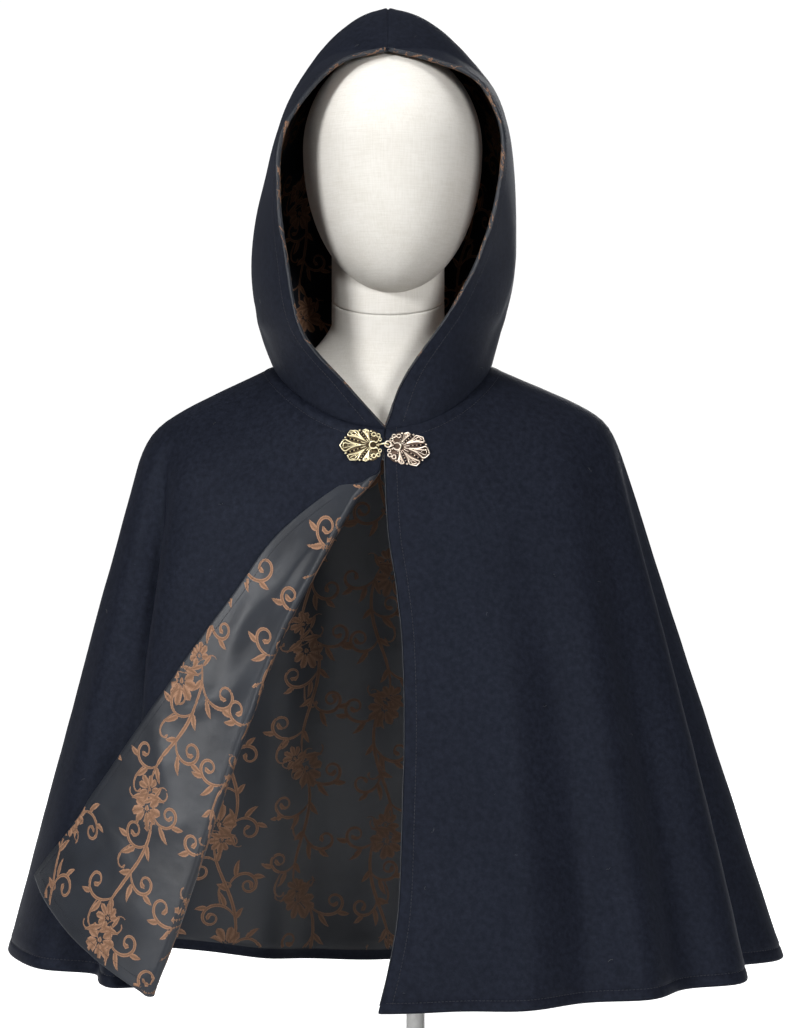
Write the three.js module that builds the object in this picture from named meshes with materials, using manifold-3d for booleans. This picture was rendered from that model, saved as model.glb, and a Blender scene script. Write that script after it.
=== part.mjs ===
// A short hooded cloak of wool melton with a satin lining, fastened by a two-plate clasp,
// on a plain head-and-shoulders display form with a pole and a round base.
// Millimetres, +Z up. The cloak faces -Y and the wearer's left is +X.
// The origin is the centre of the underside of the stand's base.

import * as THREE from "three";
import Module from "manifold-3d";

const wasm = await Module();
wasm.setup();

const DEG = Math.PI / 180;
const UP = new THREE.Vector3(0, 0, 1);
const SAME_POINT = 0.0005;  // points nearer than this are one

// Cloth walls, and the clear space between two pieces that are sewn together.
const SEAM = 0.3;
const WOOL = { from: 0, to: 2.0 };
const LINING = { from: WOOL.to + SEAM, to: WOOL.to + SEAM + 1.0 };

// The three rings that the cape hangs from. Each has its half width on the wearer's left and
// right, its depth in front and behind, its heights, and how flat it stays at the sides.
const NECK = {
  left: 90, right: 100, front: 95, back: 75,
  leftHeight: 623, rightHeight: 623, frontHeight: 567, backHeight: 645, flat: 1.6,
};
const SHOULDER = {
  left: 196, right: 209, front: 126, back: 112,
  leftHeight: 578, rightHeight: 571, frontHeight: 462, backHeight: 572, flat: 2,
};
const HEM = {
  left: 343, right: 329, front: 226, back: 212,
  leftHeight: 112, rightHeight: 120, frontHeight: 99, backHeight: 78, flat: 2,
};
const SHOULDER_DOWN = 0.2;   // share of the cape's length that lies over the shoulder
const SHOULDER_EASE = 0.022; // how softly the cloth bends there

// Where the cape's sections stand: down = 0 is the neck seam and 1 is the hem.
const DOWN_ROWS = [0, 0.05, 0.1, 0.15, 0.19, 0.23, 0.31, 0.44, 0.6, 0.8, 1];
const TURNED_ROWS = [0, 0.05, 0.062, 0.075, 0.09, 0.12, 0.15, 0.19, 0.23, 0.31, 0.44, 0.6, 0.8, 1];

// Soft folds that fall from the shoulders, by their bearing round the body in degrees
// (0 in front, 90 on the wearer's left), width in degrees, and how far out they stand at the hem.
const FOLDS = [
  { shoulder: 13, hem: 11, width: 5, out: -4, ease: 1.1 },
  { shoulder: 22, hem: 19, width: 5, out: 5, ease: 1.1 },
  { shoulder: 34, hem: 29, width: 5, out: -6, ease: 1.1 },
  { shoulder: 46, hem: 38, width: 5, out: 6, ease: 1.1 },
  { shoulder: 58, hem: 47, width: 5, out: -7, ease: 1.1 },
  { shoulder: 72, hem: 57, width: 5, out: 6, ease: 0.9 },
  { shoulder: 84, hem: 72, width: 8, out: -34, ease: 0.8 },
  { shoulder: 106, hem: 108, width: 8, out: 9, ease: 1 },
  { shoulder: 122, hem: 124, width: 7, out: -15, ease: 1 },
  { shoulder: 138, hem: 140, width: 8, out: 8, ease: 1 },
  { shoulder: 157, hem: 157, width: 7, out: -12, ease: 1.2 },
  { shoulder: 172, hem: 172, width: 8, out: 7, ease: 1.2 },
  { shoulder: 186, hem: 185, width: 6, out: -7, ease: 1.2 },
  { shoulder: 202, hem: 201, width: 6, out: -20, ease: 1 },
  { shoulder: 217, hem: 216, width: 8, out: 12, ease: 1 },
  { shoulder: 234, hem: 231, width: 7, out: -14, ease: 1 },
  { shoulder: 250, hem: 249, width: 8, out: 8, ease: 1 },
  { shoulder: 295, hem: 306, width: 6, out: -32, ease: 0.55 },
];

// How far the wearer's left front edge stands to the side, down its length.
const LEFT_EDGE = [
  { down: 0, side: -1.2 },
  { down: 0.06, side: -1.2 },
  { down: 0.17, side: 2 },
  { down: 0.25, side: 8 },
  { down: 0.35, side: 13 },
  { down: 0.5, side: 15 },
  { down: 0.68, side: 13 },
  { down: 0.83, side: 10 },
  { down: 0.92, side: 3 },
  { down: 1, side: -6 },
];
const EDGE_SPREAD = 50;   // degrees round the body over which that sway dies out
const RIGHT_CLOSING = -2.8;  // where the wearer's right front edge meets it at the neck

// The wearer's right front is turned back outward. The fold runs at a bearing (swing, degrees
// from the middle of the front), and the turned edge lies at its own bearing and section.
const TURN_BACK = [
  { down: 0, swing: 0, edgeSwing: 0, edgeDown: 0 },
  { down: 0.05, swing: 1.4, edgeSwing: 1.4, edgeDown: 0.05 },
  { down: 0.09, swing: 6.2, edgeSwing: 6.2, edgeDown: 0.09 },
  { down: 0.12, swing: 9.8, edgeSwing: 14, edgeDown: 0.106 },
  { down: 0.23, swing: 15.4, edgeSwing: 23.5, edgeDown: 0.19 },
  { down: 0.37, swing: 21.8, edgeSwing: 32.2, edgeDown: 0.33 },
  { down: 0.52, swing: 26, edgeSwing: 40.5, edgeDown: 0.466 },
  { down: 0.66, swing: 29.2, edgeSwing: 48.4, edgeDown: 0.6 },
  { down: 0.81, swing: 32, edgeSwing: 56.5, edgeDown: 0.724 },
  { down: 0.91, swing: 33.9, edgeSwing: 62.6, edgeDown: 0.8 },
  { down: 1, swing: 36, edgeSwing: 71, edgeDown: 0.873 },
];
const TURN_START = 0.05;   // the fronts part here, just under the clasp
const TURN_FULL = 0.09;    // the cloth has turned right over here
const TURN_GAP = 3;        // clear space between the turned part and the panel under it
const TURN_LEAN_FROM = 230;  // the sections lean with the fold from this bearing on
const FOLD_STEP = 0.01;    // how far along the fold its direction is read

// Cape panels, by their bearings, with their number of columns.
const BACK_PANEL = { from: 90, to: 270, columns: 30 };
const LEFT_PANEL = { from: 0, to: 90, columns: 22 };
const RIGHT_PANEL = { from: 270, to: 360, columns: 16, turnColumns: 4, flapColumns: 6 };

// Hood halves. up = 0 is the neck seam and 1 the top of the face opening. Each row has the
// opening's edge (front), the widest place at the side, and the centre seam behind.
const HOOD_LEFT = [
  { up: 0, frontX: -1.2, frontY: -95, frontZ: 567, sideX: 90, sideY: 0, sideZ: 623 },
  { up: 0.12, frontX: 16, frontY: -97, frontZ: 610, sideX: 99, sideY: 0, sideZ: 658 },
  { up: 0.27, frontX: 53, frontY: -98, frontZ: 663, sideX: 110, sideY: 2, sideZ: 700 },
  { up: 0.42, frontX: 80, frontY: -97, frontZ: 715, sideX: 112, sideY: 4, sideZ: 745 },
  { up: 0.56, frontX: 95, frontY: -94, frontZ: 770, sideX: 110, sideY: 6, sideZ: 795 },
  { up: 0.69, frontX: 97, frontY: -88, frontZ: 820, sideX: 104, sideY: 4, sideZ: 833 },
  { up: 0.8, frontX: 77, frontY: -78, frontZ: 862, sideX: 90, sideY: -4, sideZ: 866 },
  { up: 0.9, frontX: 41, frontY: -68, frontZ: 880, sideX: 52, sideY: -20, sideZ: 893 },
  { up: 1, frontX: 0.5, frontY: -62, frontZ: 891, sideX: 1, sideY: -62, sideZ: 891 },
];
const HOOD_RIGHT = [
  { up: 0, frontX: 2.8, frontY: -95, frontZ: 567, sideX: 100, sideY: 0, sideZ: 623 },
  { up: 0.12, frontX: 35, frontY: -97, frontZ: 602, sideX: 111, sideY: 0, sideZ: 655 },
  { up: 0.27, frontX: 73, frontY: -98, frontZ: 647, sideX: 118, sideY: 2, sideZ: 690 },
  { up: 0.42, frontX: 86, frontY: -97, frontZ: 706, sideX: 118, sideY: 4, sideZ: 735 },
  { up: 0.56, frontX: 93, frontY: -94, frontZ: 762, sideX: 108, sideY: 6, sideZ: 785 },
  { up: 0.69, frontX: 90, frontY: -88, frontZ: 814, sideX: 97, sideY: 4, sideZ: 826 },
  { up: 0.8, frontX: 68, frontY: -78, frontZ: 852, sideX: 82, sideY: -4, sideZ: 860 },
  { up: 0.9, frontX: 39, frontY: -68, frontZ: 880, sideX: 50, sideY: -20, sideZ: 890 },
  { up: 1, frontX: 0.5, frontY: -62, frontZ: 891, sideX: 1, sideY: -62, sideZ: 891 },
];
const HOOD_SEAM = [
  { up: 0, y: 75, z: 645 },
  { up: 0.12, y: 104, z: 680 },
  { up: 0.27, y: 133, z: 735 },
  { up: 0.42, y: 148, z: 790 },
  { up: 0.56, y: 146, z: 850 },
  { up: 0.69, y: 122, z: 897 },
  { up: 0.8, y: 75, z: 930 },
  { up: 0.9, y: 20, z: 937 },
  { up: 1, y: -62, z: 891 },
];
const HOOD_TOP = new THREE.Vector3(0, -62, 891);
const HOOD_ROWS = [0, 0.06, 0.12, 0.2, 0.3, 0.42, 0.54, 0.66, 0.76, 0.85, 0.93, 1];
const HOOD_COLUMNS = 18;
const HOOD_LAST = 0.97;  // the last section that still has a width to take its direction from
const HOOD_LIFT = 0.6;   // how far the hood's lower edge stands above the cape's neck edge
const HOOD_BLEND = 0.2;  // the hood follows the neck ring at the seam and leaves it by here
// The plain curve of the hood's own lower edge, before it is drawn to the neck ring.
const NECK_RISE = (NECK.frontHeight - NECK.backHeight) / 2;
const NECK_BOW = (NECK.frontHeight + NECK.backHeight) / 2 - NECK.leftHeight;

// The display form: an egg head with its chin forward, a neck cut on a slant, and shoulders
// that follow the cape from inside.
const HEAD = {
  x: 4, z: 811, width: 78, depth: 98, up: 90.2, down: 127, chin: 40, steps: 18, sides: 28,
};
const NECK_COLUMN = {
  x: 0, width: 49, front: 46, back: 58, slantZ: 680.3, slant: 0.34, top: 760, flareDrop: 22,
};
const YOKE = {
  bottom: 547, ridgeGap: 0.9, openGap: 8, hangGap: 130, start: 0.02, deepest: 0.5, rings: 6, columns: 36,
};
// Where the rings of the curve from the shoulders to the neck stand, and how that curve bends.
const NECK_FLARE = { shares: [0.3, 0.6, 0.85], inward: 0.75, upward: 0.3 };
const STAND = {
  x: 24, y: 20, poleRadius: 8, flangeRadius: 32, flangeThick: 4, footRadius: 20, footThick: 10,
  baseRadius: 145, baseThick: 8, baseEdge: 3, sides: 32,
};

// The clasp: two pierced fan plates with a hook on one and a ring on the other.
const CLASP = {
  reach: 26, shoulder: 13.5, narrow: 7, thick: 1.3, lobes: 5, notch: 0.17, corners: 60,
  lift: 0.3, ring: 2.6, ringHeight: 2.4, wire: 0.7,
};
// The hook's line from its plate up, over and down through the ring.
const HOOK_ROUTE = [
  { along: 2.5, high: 0.9 },
  { along: -0.3, high: 2.7 },
  { along: -2.2, high: 4.3 },
  { along: -4.6, high: 5.1 },
  { along: -6.6, high: 4.4 },
  { along: -7.5, high: 2.9 },
  { along: -7.6, high: 1.5 },
];
const RING_NECK = { long: 2.2, wide: 1.6, thick: 1.6, along: 0.7, high: 1.7 };
// The holes between the fan's ribs: how far out, how long and how wide.
const PLATE_HOLES = [
  { at: 0.42, long: 0.13, wide: 1.1 },
  { at: 0.74, long: 0.09, wide: 1.5 },
];
const CLASP_PLACES = [
  { node: "clasp_right_plate", bearing: 358.4, down: 0.028, tilt: 0, mirror: true },
  { node: "clasp_left_plate", bearing: 2.2, down: 0.0284, tilt: -12, mirror: false },
];

const FINISH = {
  wool: new THREE.MeshStandardMaterial({ color: 0x1b1e28, roughness: 0.95, metalness: 0 }),
  lining: new THREE.MeshStandardMaterial({ color: 0x3a4049, roughness: 0.45, metalness: 0 }),
  brass: new THREE.MeshStandardMaterial({ color: 0xa08a52, roughness: 0.4, metalness: 1 }),
  linen: new THREE.MeshStandardMaterial({ color: 0xe9e5da, roughness: 0.9, metalness: 0 }),
  steel: new THREE.MeshStandardMaterial({ color: 0xdedede, roughness: 0.5, metalness: 0.1 }),
};

const cloak = new THREE.Group();

/** Adds a named piece to the cloak. */
function place(name, geometry, material) {
  const mesh = new THREE.Mesh(geometry, material);
  mesh.name = name;
  cloak.add(mesh);
}

/** Reads a column of a table between its rows, along a smooth curve through them. */
function read(table, key, column, at) {
  const last = table.length - 1;
  const held = THREE.MathUtils.clamp(at, table[0][key], table[last][key]);
  let row = 0;
  while (row < last - 1 && table[row + 1][key] < held) row += 1;
  const slope = (k) => {
    const before = table[Math.max(k - 1, 0)];
    const after = table[Math.min(k + 1, last)];
    return (after[column] - before[column]) / (after[key] - before[key]);
  };
  const span = table[row + 1][key] - table[row][key];
  const part = (held - table[row][key]) / span;
  const rest = 1 - part;
  return table[row][column] * (1 + 2 * part) * rest * rest
    + table[row + 1][column] * part * part * (3 - 2 * part)
    + span * slope(row) * part * rest * rest
    - span * slope(row + 1) * part * part * rest;
}

/** A closed solid from points and triangles: equal points become one, flat triangles are dropped. */
function solid(points, triangles) {
  const keys = new Map();
  const kept = [];
  const renamed = points.map((point) => {
    const key = point.toArray().map((value) => Math.round(value / SAME_POINT)).join(",");
    if (!keys.has(key)) {
      keys.set(key, kept.length / 3);
      kept.push(...point.toArray());
    }
    return keys.get(key);
  });
  const faces = [];
  for (const triangle of triangles) {
    const [a, b, c] = triangle.map((corner) => renamed[corner]);
    if (a !== b && b !== c && c !== a) faces.push(a, b, c);
  }
  const geometry = new THREE.BufferGeometry();
  geometry.setAttribute("position", new THREE.Float32BufferAttribute(kept, 3));
  geometry.setIndex(faces);
  geometry.computeVertexNormals();
  return geometry;
}

/** A cloth wall over a grid: point(column, row) gives the outer point and the way into the cloth. */
function wall(columns, rows, layer, point) {
  const outer = [];
  const inner = [];
  for (let row = 0; row <= rows; row += 1) {
    for (let column = 0; column <= columns; column += 1) {
      const { at, into } = point(column, row);
      outer.push(at.clone().addScaledVector(into, layer.from));
      inner.push(at.clone().addScaledVector(into, layer.to));
    }
  }
  const index = (column, row) => row * (columns + 1) + column;
  const back = outer.length;
  const triangles = [];
  for (let row = 0; row < rows; row += 1) {
    for (let column = 0; column < columns; column += 1) {
      const a = index(column, row);
      const b = index(column + 1, row);
      const c = index(column + 1, row + 1);
      const d = index(column, row + 1);
      triangles.push([a, d, c], [a, c, b]);
      triangles.push([a + back, c + back, d + back], [a + back, b + back, c + back]);
    }
  }
  const rim = [];
  for (let column = 0; column < columns; column += 1) rim.push(index(column, 0));
  for (let row = 0; row < rows; row += 1) rim.push(index(columns, row));
  for (let column = columns; column > 0; column -= 1) rim.push(index(column, rows));
  for (let row = rows; row > 0; row -= 1) rim.push(index(0, row));
  rim.forEach((p, k) => {
    const q = rim[(k + 1) % rim.length];
    triangles.push([p, q, q + back], [p, q + back, p + back]);
  });
  return solid([...outer, ...inner], triangles);
}

/** A closed solid through rings of equal length, from the lowest to the highest. */
function stack(rings) {
  const sides = rings[0].length;
  const points = rings.flat();
  const triangles = [];
  for (let level = 0; level < rings.length - 1; level += 1) {
    for (let side = 0; side < sides; side += 1) {
      const next = (side + 1) % sides;
      const a = level * sides + side;
      const b = level * sides + next;
      triangles.push([a, b, b + sides], [a, b + sides, a + sides]);
    }
  }
  const middle = (ring) => {
    const sum = ring.reduce((total, point) => total.add(point), new THREE.Vector3());
    return sum.divideScalar(sides);
  };
  const top = (rings.length - 1) * sides;
  points.push(middle(rings[0]), middle(rings[rings.length - 1]));
  for (let side = 0; side < sides; side += 1) {
    const next = (side + 1) % sides;
    triangles.push([points.length - 2, next, side], [points.length - 1, top + side, top + next]);
  }
  return solid(points, triangles);
}

/** Turns a geometry into a solid for joining and cutting. */
function toSolid(geometry) {
  const positions = geometry.attributes.position;
  const points = [];
  for (let k = 0; k < positions.count; k += 1) {
    points.push(new THREE.Vector3().fromBufferAttribute(positions, k));
  }
  const order = geometry.index ? Array.from(geometry.index.array) : points.map((_, k) => k);
  const triangles = [];
  for (let k = 0; k < order.length; k += 3) triangles.push([order[k], order[k + 1], order[k + 2]]);
  const welded = solid(points, triangles);
  return new wasm.Manifold(new wasm.Mesh({
    numProp: 3,
    vertProperties: new Float32Array(welded.attributes.position.array),
    triVerts: new Uint32Array(welded.index.array),
  }));
}

/** Turns a joined or cut solid back into a geometry. */
function toGeometry(joined) {
  const mesh = joined.getMesh();
  const geometry = new THREE.BufferGeometry();
  geometry.setAttribute("position", new THREE.Float32BufferAttribute(mesh.vertProperties, 3));
  geometry.setIndex(Array.from(mesh.triVerts));
  geometry.computeVertexNormals();
  return geometry;
}

/** A point of one of the cape's three rings, at a bearing round the body. */
function ringPoint(ring, bearing) {
  const side = Math.sin(bearing * DEG);
  const fore = Math.cos(bearing * DEG);
  const sideHeight = side > 0 ? ring.leftHeight : ring.rightHeight;
  const endHeight = fore > 0 ? ring.frontHeight : ring.backHeight;
  return new THREE.Vector3(
    side * (side > 0 ? ring.left : ring.right),
    -fore * (fore > 0 ? ring.front : ring.back),
    sideHeight + (endHeight - sideHeight) * Math.abs(fore) ** ring.flat,
  );
}

/** How much of the cape's length lies over the shoulder and how much hangs, at a section. */
function lengths(down) {
  const bend = (at) => SHOULDER_EASE * Math.log(1 + Math.exp((at - SHOULDER_DOWN) / SHOULDER_EASE));
  const hang = (bend(down) - bend(0)) / (bend(1) - bend(0));
  const over = (down - bend(down) + bend(0)) / (1 - bend(1) + bend(0));
  return { over, hang };
}

/** How far the folds stand out at a bearing, for a share of the hanging length. */
function foldOut(bearing, hang) {
  return FOLDS.reduce((sum, fold) => {
    const middle = THREE.MathUtils.lerp(fold.shoulder, fold.hem, hang);
    const reach = (bearing - middle) / fold.width;
    return sum + fold.out * Math.exp(-reach * reach) * Math.max(hang, 0) ** fold.ease;
  }, 0);
}

/** A point of the cape's outer surface. folded = 0 leaves the folds out. */
function surfacePoint(bearing, down, folded = 1) {
  const { over, hang } = lengths(down);
  const neck = ringPoint(NECK, bearing);
  const shoulder = ringPoint(SHOULDER, bearing);
  const hem = ringPoint(HEM, bearing);
  const point = neck.clone().addScaledVector(shoulder.clone().sub(neck), over);
  point.addScaledVector(hem.sub(shoulder), hang);
  const aside = Math.sin(bearing * DEG) / HEM.left;
  const ahead = -Math.cos(bearing * DEG) / HEM.front;
  const outward = new THREE.Vector3(aside, ahead, 0).normalize();
  point.addScaledVector(outward, folded * foldOut(bearing, hang));
  return point;
}

/** A point of the hanging cape, with both front edges drawn to their places. */
function capePoint(turn, down) {
  const lean = Math.max(turn - TURN_LEAN_FROM, 0) / (360 - TURN_LEAN_FROM);
  const bearing = turn - read(TURN_BACK, "down", "swing", down) * lean * lean;
  const point = surfacePoint(bearing, down);
  const leftNear = 1 - THREE.MathUtils.smoothstep(turn, 0, EDGE_SPREAD);
  const rightNear = THREE.MathUtils.smoothstep(turn, 360 - EDGE_SPREAD, 360);
  point.x += leftNear * read(LEFT_EDGE, "down", "side", down);
  point.x += rightNear * RIGHT_CLOSING * (1 - down);
  return point;
}

/** The way out of a surface, from small steps along its two directions inside their limits. */
function outwardOf(surface, u, v, limits) {
  const step = 1e-3;
  const along = (a, b) => surface(b[0], b[1]).sub(surface(a[0], a[1]));
  const width = limits.u[1] - limits.u[0];
  const height = limits.v[1] - limits.v[0];
  const u0 = Math.max(u - step * width, limits.u[0]);
  const u1 = Math.min(u + step * width, limits.u[1]);
  const v0 = Math.max(v - step * height, limits.v[0]);
  const v1 = Math.min(v + step * height, limits.v[1]);
  return along([u, v0], [u, v1]).cross(along([u0, v], [u1, v])).normalize();
}

const CAPE_LIMITS = { u: [0, 360], v: [0, 1] };

/** A panel of the cape between two bearings, with half a seam's space at each sewn side. */
function capePanel(panel, layer, seams) {
  return wall(panel.columns, DOWN_ROWS.length - 1, layer, (column, row) => {
    const down = DOWN_ROWS[row];
    const turn = THREE.MathUtils.lerp(panel.from, panel.to, column / panel.columns);
    const at = capePoint(turn, down);
    const into = outwardOf(capePoint, turn, down, CAPE_LIMITS).negate();
    const sewn = (column === 0 && seams.first) || (column === panel.columns && seams.last);
    if (sewn) {
      const inside = capePoint(turn + (column === 0 ? 1 : -1), down);
      at.addScaledVector(inside.sub(at).normalize(), SEAM / 2);
    }
    return { at, into };
  });
}

/** The turned-back front: the hanging panel, the roll at the fold, and the flap lying on it. */
function turnedPanel(panel, layer) {
  const columns = panel.columns + panel.turnColumns + panel.flapColumns;
  return wall(columns, TURNED_ROWS.length - 1, layer, (column, row) => {
    const down = TURNED_ROWS[row];
    if (column <= panel.columns) {
      const turn = THREE.MathUtils.lerp(panel.from, panel.to, column / panel.columns);
      const at = capePoint(turn, down);
      const into = outwardOf(capePoint, turn, down, CAPE_LIMITS).negate();
      if (column === 0) at.addScaledVector(capePoint(turn + 1, down).sub(at).normalize(), SEAM / 2);
      return { at, into };
    }
    const turned = THREE.MathUtils.smoothstep(down, TURN_START, TURN_FULL);
    const rollPart = Math.min((column - panel.columns) / panel.turnColumns, 1);
    if (column <= panel.columns + panel.turnColumns || turned < 1) {
      return rollPoint(down, rollPart * turned);
    }
    return flapPoint(down, (column - panel.columns - panel.turnColumns) / panel.flapColumns);
  });
}

/** A point of the roll at the fold. part = 0 is the hanging panel's edge, 1 is turned right over. */
function rollPoint(down, part) {
  const fold = capePoint(360, down);
  const outward = outwardOf(capePoint, 360, down, CAPE_LIMITS);
  const lower = Math.min(down + FOLD_STEP, 1);
  const upper = Math.max(down - FOLD_STEP, 0);
  const line = capePoint(360, lower).sub(capePoint(360, upper)).normalize();
  const across = outward.clone().cross(line).normalize();
  const angle = Math.PI * part;
  const into = outward.clone().multiplyScalar(-Math.cos(angle)).addScaledVector(across, Math.sin(angle));
  const at = fold.addScaledVector(outward, TURN_GAP / 2).addScaledVector(into, TURN_GAP / 2);
  return { at, into };
}

/** The way out of the cape's surface with its folds left out. */
function smoothOutward(bearing, down) {
  const smooth = (turn, at) => surfacePoint(turn, at, 0);
  return outwardOf(smooth, bearing, down, { u: [-90, 450], v: [0, 1] });
}

/** A point of the turned flap. part = 0 is at the fold and 1 is the front's own edge. */
function flapPoint(down, part) {
  const value = (column) => read(TURN_BACK, "down", column, down);
  const bearing = 360 - THREE.MathUtils.lerp(value("swing"), value("edgeSwing"), part);
  const section = THREE.MathUtils.lerp(down, value("edgeDown"), part);
  const at = surfacePoint(bearing, section, 0);
  at.x += RIGHT_CLOSING * (1 - down);
  const into = smoothOutward(bearing, section);
  return { at: at.addScaledVector(into, TURN_GAP), into };
}

/** A point of a hood half. part = 0 is the opening's edge and 1 the centre seam; side = 1 or -1. */
function hoodPoint(table, side, part, up) {
  const value = (column) => read(table, "up", column, up);
  const width = value("sideX");
  const start = Math.asin(THREE.MathUtils.clamp(value("frontX") / width, -1, 1));
  const sideY = value("sideY");
  const sideZ = value("sideZ");
  const seamY = read(HOOD_SEAM, "up", "y", up);
  const seamZ = read(HOOD_SEAM, "up", "z", up);
  const first = Math.cos(start);
  const angle = start + (Math.PI - start) * part;
  const fore = Math.cos(angle);
  const depth = fore > 0 ? (value("frontY") - sideY) / first : sideY - seamY;
  const rise = (value("frontZ") - sideZ - first * first * (seamZ - sideZ)) / (first * (1 + first));
  const bow = seamZ - sideZ + rise;
  const point = new THREE.Vector3(side * width * Math.sin(angle), sideY + depth * fore, 0);
  point.z = sideZ + rise * fore + bow * fore * fore;
  const near = Math.max(1 - up / HOOD_BLEND, 0);
  const neckHeight = NECK.leftHeight + NECK_RISE * fore + NECK_BOW * fore * fore;
  point.z += near * near * (ringPoint(NECK, side * angle / DEG).z - neckHeight);
  return point;
}

/** A hood half as a wall, a seam's space clear of the cape below and of the other half. */
function hoodHalf(table, side, layer) {
  const columns = HOOD_COLUMNS;
  const limits = { u: [0, 1], v: [0, HOOD_LAST] };
  const surface = (part, up) => hoodPoint(table, side, part, up);
  return wall(columns, HOOD_ROWS.length - 1, layer, (column, row) => {
    const grid = side > 0 ? column : columns - column;
    const part = grid / columns;
    const up = HOOD_ROWS[HOOD_ROWS.length - 1 - row];
    const into = outwardOf(surface, part, Math.min(up, limits.v[1]), limits).multiplyScalar(side);
    const at = up === 1 ? HOOD_TOP.clone() : surface(part, up);
    if (grid === columns || up === 1) {
      at.x = side * SEAM / 2;
      into.setX(0).normalize();
    }
    if (up === 0) {
      into.setZ(0).normalize();
      at.addScaledVector(UP, HOOD_LIFT);
    }
    return { at, into };
  });
}

/** The egg head with the stub of the neck, above the slanted neck cut. */
function headOfForm() {
  const profile = [];
  for (let step = 0; step <= HEAD.steps; step += 1) {
    const angle = Math.PI * (step / HEAD.steps - 0.5);
    const height = Math.sin(angle) * (angle > 0 ? HEAD.up : HEAD.down);
    const radius = step === 0 || step === HEAD.steps ? 0 : HEAD.width * Math.cos(angle);
    profile.push(new THREE.Vector2(radius, height));
  }
  const egg = new THREE.LatheGeometry(profile, HEAD.sides);
  egg.rotateX(90 * DEG);
  egg.scale(1, HEAD.depth / HEAD.width, 1);
  const positions = egg.attributes.position;
  for (let k = 0; k < positions.count; k += 1) {
    const low = Math.min(positions.getZ(k) / HEAD.down, 0);
    positions.setY(k, positions.getY(k) - HEAD.chin * low * low);
  }
  egg.translate(HEAD.x, 0, HEAD.z);
  const bottom = neckRing((y) => NECK_COLUMN.slantZ + NECK_COLUMN.slant * y + SEAM);
  const top = neckRing(() => NECK_COLUMN.top);
  return toGeometry(toSolid(egg).add(toSolid(stack([bottom, top]))));
}

/** A ring round the neck column, at the height that a function gives for its depth. */
function neckRing(heightAt) {
  const ring = [];
  for (let k = 0; k < YOKE.columns; k += 1) {
    const bearing = 2 * Math.PI * k / YOKE.columns;
    const fore = Math.cos(bearing);
    const y = -fore * (fore > 0 ? NECK_COLUMN.front : NECK_COLUMN.back);
    ring.push(new THREE.Vector3(NECK_COLUMN.x + NECK_COLUMN.width * Math.sin(bearing), y, heightAt(y)));
  }
  return ring;
}

/** A point of the form's shoulders, inside the cape by a space that is least along the ridge. */
function yokePoint(bearing, down) {
  const fore = Math.cos(bearing * DEG);
  const space = YOKE.ridgeGap + YOKE.openGap * fore * fore + YOKE.hangGap * lengths(down).hang;
  const inside = LINING.to + space;
  return surfacePoint(bearing, down, 0).addScaledVector(smoothOutward(bearing, down), -inside);
}

/** The shoulders and neck of the form, up to the slanted neck cut, with a flat underside. */
function shouldersOfForm() {
  const rings = [];
  const bearings = Array.from({ length: YOKE.columns }, (_, k) => 360 * k / YOKE.columns);
  const endOf = (bearing) => {
    let low = YOKE.start;
    let high = YOKE.deepest;
    for (let k = 0; k < 40; k += 1) {
      const middle = (low + high) / 2;
      if (yokePoint(bearing, middle).z > YOKE.bottom) low = middle;
      else high = middle;
    }
    return low;
  };
  const ends = bearings.map(endOf);
  for (let level = 0; level <= YOKE.rings; level += 1) {
    const share = 1 - level / YOKE.rings;
    const downAt = (k) => THREE.MathUtils.lerp(YOKE.start, ends[k], share);
    rings.push(bearings.map((bearing, k) => yokePoint(bearing, downAt(k))));
  }
  const collar = rings[YOKE.rings];
  const cut = neckRing((y) => NECK_COLUMN.slantZ + NECK_COLUMN.slant * y);
  const flareTop = cut.map((point) => point.clone().addScaledVector(UP, -NECK_COLUMN.flareDrop));
  for (const share of NECK_FLARE.shares) {
    rings.push(collar.map((low, k) => {
      const high = flareTop[k];
      const corner = new THREE.Vector3().lerpVectors(low, high, NECK_FLARE.inward);
      corner.z = THREE.MathUtils.lerp(low.z, high.z, NECK_FLARE.upward);
      const curve = new THREE.QuadraticBezierCurve3(low, corner, high);
      return curve.getPoint(share);
    }));
  }
  rings.push(flareTop, cut);
  return stack(rings);
}

/** The pole, with the flange that carries the form and the foot that stands on the base. */
function pole() {
  const low = STAND.baseThick + SEAM;
  const high = YOKE.bottom - SEAM;
  const profile = [
    [0, low], [STAND.footRadius, low], [STAND.footRadius, low + STAND.footThick / 2],
    [STAND.poleRadius, low + STAND.footThick], [STAND.poleRadius, high - 2 * STAND.flangeThick],
    [STAND.flangeRadius, high - STAND.flangeThick], [STAND.flangeRadius, high], [0, high],
  ];
  return turnedSolid(profile, STAND.sides / 2, STAND.x, STAND.y);
}

/** The round base with its softened upper edge. */
function base() {
  const { baseRadius, baseThick, baseEdge } = STAND;
  const profile = [
    [0, 0], [baseRadius, 0], [baseRadius, baseThick - baseEdge],
    [baseRadius - baseEdge, baseThick], [0, baseThick],
  ];
  return turnedSolid(profile, STAND.sides, 0, 0);
}

/** A solid turned round an upright axis from pairs of radius and height. */
function turnedSolid(profile, sides, x, y) {
  const points = profile.map(([radius, height]) => new THREE.Vector2(radius, height));
  const geometry = new THREE.LatheGeometry(points, sides);
  geometry.rotateX(90 * DEG);
  geometry.translate(x, y, 0);
  return toGeometry(toSolid(geometry));
}

/** The reach of the fan plate's outline from its middle, at an angle from its long axis. */
function plateReach(angle) {
  const fore = Math.cos(angle);
  if (fore < 0) return THREE.MathUtils.lerp(CLASP.shoulder, CLASP.narrow, fore * fore);
  const lobe = Math.abs(Math.cos(CLASP.lobes * angle));
  const full = THREE.MathUtils.lerp(CLASP.shoulder, CLASP.reach, fore * fore);
  return full * (1 - CLASP.notch * (1 - lobe) * fore);
}

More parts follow.
